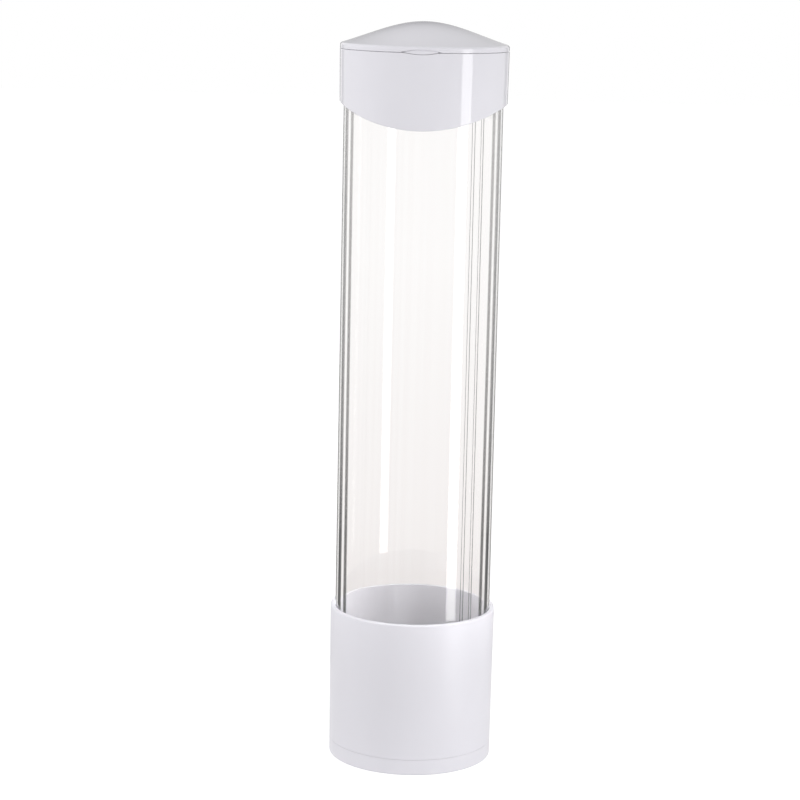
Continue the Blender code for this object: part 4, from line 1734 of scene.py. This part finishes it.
@dataclass
class Studio:
    """The floor, backdrop, lamps, cards and camera."""

    camera_place: Place = (0.0533, -1.3279, 0.4465)
    camera_azimuth: float = math.radians(2.3)
    camera_turns: tuple[tuple[str, float], ...] = (("Z", 2.7), ("X", 79.51), ("Z", 1.22))
    lens: float = 110.52
    sensor_width: float = 36.0
    side_light: float = 0.92
    top_light: float = 0.37
    floor_size: float = 12.0
    floor_tone: float = 0.55
    floor_glow: float = 0.74
    floor_bounce: float = 0.14
    floor_bounce_reach: Point = (0.05, 0.15)
    floor_fade_reach: Point = (0.40, 2.2)
    floor_fade_power: float = 0.4
    # painted shade: gloss and glass see the floor in this darker tone close to the dispenser
    floor_painted_shade_tone: Place = (0.885, 0.85, 0.84)
    floor_far_tone: Place = (1.0, 0.992, 0.985)
    edge_flags: tuple[Place, ...] = ((0.070, 0.092, 0.04), (0.130, 0.180, 0.45))
    edge_flag_setback: float = 0.16
    edge_flag_top: float = 0.42
    card_thickness: float = 0.002
    back_flag: Card = Card(
        "back_flag",
        (-1.0, 0.60, 0.25),
        (1.0, 0.602, 1.70),
        0.28,
        fade=((-0.05, 0.60, 0.60), (0.27, 1.0, 0.40)),
    )
    lamps: tuple[Lamp, ...] = (
        Lamp("strip_right", 56.1, 0.20, 0.050, 0.004, 0.44, 4.4, in_gloss=True, in_diffuse=False),
        Lamp("side_right", 61.5, 0.30, 0.086, 0.004, 0.40, 3.5),
        Lamp("soft_left", -76.0, 0.75, 0.90, 0.004, 1.1, 1.0),
        Lamp("soft_front", 8.0, 2.2, 1.2, 0.9, 1.9, 3.2),
        Lamp("fill_right", 80.0, 0.42, 0.04, 0.38, 0.42, 620.0, 34.0, 14.0),
        Lamp("fill_front", 25.0, 0.42, 0.04, 0.38, 0.42, 230.0, 34.0, 14.0),
        Lamp("fill_left", -80.0, 0.42, 0.04, 0.38, 0.42, 430.0, 34.0, 14.0),
    )

    def camera(self) -> None:
        """Set the camera where the photograph was taken from."""
        data = bpy.data.cameras.new("camera")
        data.lens = self.lens
        data.sensor_width = self.sensor_width
        item = Bench.bring("camera", data)
        placing = Matrix.Translation(self.camera_place)
        for axis, angle in self.camera_turns:
            placing = placing @ Matrix.Rotation(math.radians(angle), 4, axis)
        item.matrix_world = placing
        bpy.context.scene.camera = item

    def world(self) -> None:
        """Make the world white to look at and a soft light, weaker from above."""
        world = bpy.data.worlds.new("studio")
        bpy.context.scene.world = world
        recipe = Recipe(world)
        path = recipe.add("LightPath").outputs
        rise = recipe.part(recipe.coordinates["Generated"], "Z")
        light = recipe.spread(rise, self.side_light, self.top_light, UNIT)
        seen = path["Is Camera Ray"]
        for ray in ("Is Glossy Ray", "Is Transmission Ray"):
            seen = recipe.calculate("MAXIMUM", seen, path[ray])
        recipe.feed(Color=(1.0, 1.0, 1.0, 1.0), Strength=recipe.spread(seen, light, 1.0, UNIT))

    def floor(self) -> None:
        """Lay the plain pale floor, which keeps the dispenser's soft shadow.

        The camera sees it lit, with an even glow. Gloss and glass see it as an emitted
        tone with painted shade, darker close to the dispenser and brightening away from it,
        and other light gets a small painted bounce glow from close round the base.
        """
        Bench.clear()
        bpy.ops.mesh.primitive_plane_add(size=self.floor_size, location=(0.0, 0.0, 0.0))
        item = Bench.settle("floor")
        recipe = Recipe(bpy.data.materials.new("pale_floor"))
        path = recipe.add("LightPath").outputs
        gloss, glass = path["Is Glossy Ray"], path["Is Transmission Ray"]
        reach = recipe.reach()
        # painted light: the floor glows a little close round the base for light that is not the
        # camera's
        bounce = recipe.spread(reach, self.floor_bounce, 0.0, self.floor_bounce_reach)
        strength = recipe.spread(path["Is Camera Ray"], bounce, self.floor_glow, UNIT)
        glow = recipe.add("Emission", {"Strength": strength})
        lit = recipe.add("BsdfDiffuse", {"Color": (*[self.floor_tone] * 3, 1.0)})
        both = recipe.add("AddShader", {0: lit.outputs["BSDF"], 1: glow.outputs["Emission"]})
        # painted shade: gloss and glass see the floor darker close to the dispenser
        share = recipe.spread(reach, 0.0, 1.0, self.floor_fade_reach)
        fade = recipe.calculate("POWER", share, self.floor_fade_power, clamp=True)
        gloss_only = recipe.calculate("SUBTRACT", gloss, glass, clamp=True)
        far = recipe.calculate("MAXIMUM", fade, gloss_only)
        tone = recipe.blend(far, self.floor_painted_shade_tone, self.floor_far_tone)
        floor_seen_with_painted_shade = recipe.add("Emission", {"Color": tone})
        choice = {
            0: recipe.calculate("MAXIMUM", gloss, glass),
            1: both.outputs["Shader"],
            2: floor_seen_with_painted_shade.outputs["Emission"],
        }
        recipe.show(recipe.add("MixShader", choice).outputs["Shader"])
        item.data.materials.append(recipe.owner)

    def cards(self) -> None:
        """Hang the cards that darken the edges in the gloss and shade the dome."""
        front = self.edge_flag_setback
        back = front + self.card_thickness
        for near, far, tone in self.edge_flags:
            for left, right in ((-far, -near), (near, far)):
                low, high = (left, front, 0.0), (right, back, self.edge_flag_top)
                Card("edge_flag", low, high, tone).build(self.camera_azimuth)
        self.back_flag.build(self.camera_azimuth)

    def build(self) -> None:
        """Set the whole studio up."""
        bpy.context.scene.view_settings.view_transform = "Standard"
        self.camera()
        self.world()
        self.floor()
        self.cards()
        for lamp in self.lamps:
            lamp.build()


def main() -> None:
    """Build every piece in its order and set the studio up."""
    logging.basicConfig(level=logging.INFO, format="%(name)s: %(message)s")
    finishes = Finishes()
    makers = ClearTube, BaseShell, BottomRing, Collar, Lid, PawlStations, SmallMetal
    for maker in makers:
        maker().build(finishes)
        log.info("%s is built", maker.__name__)
    Studio().build()
    bpy.context.view_layer.update()


if __name__ == "__main__":
    main()
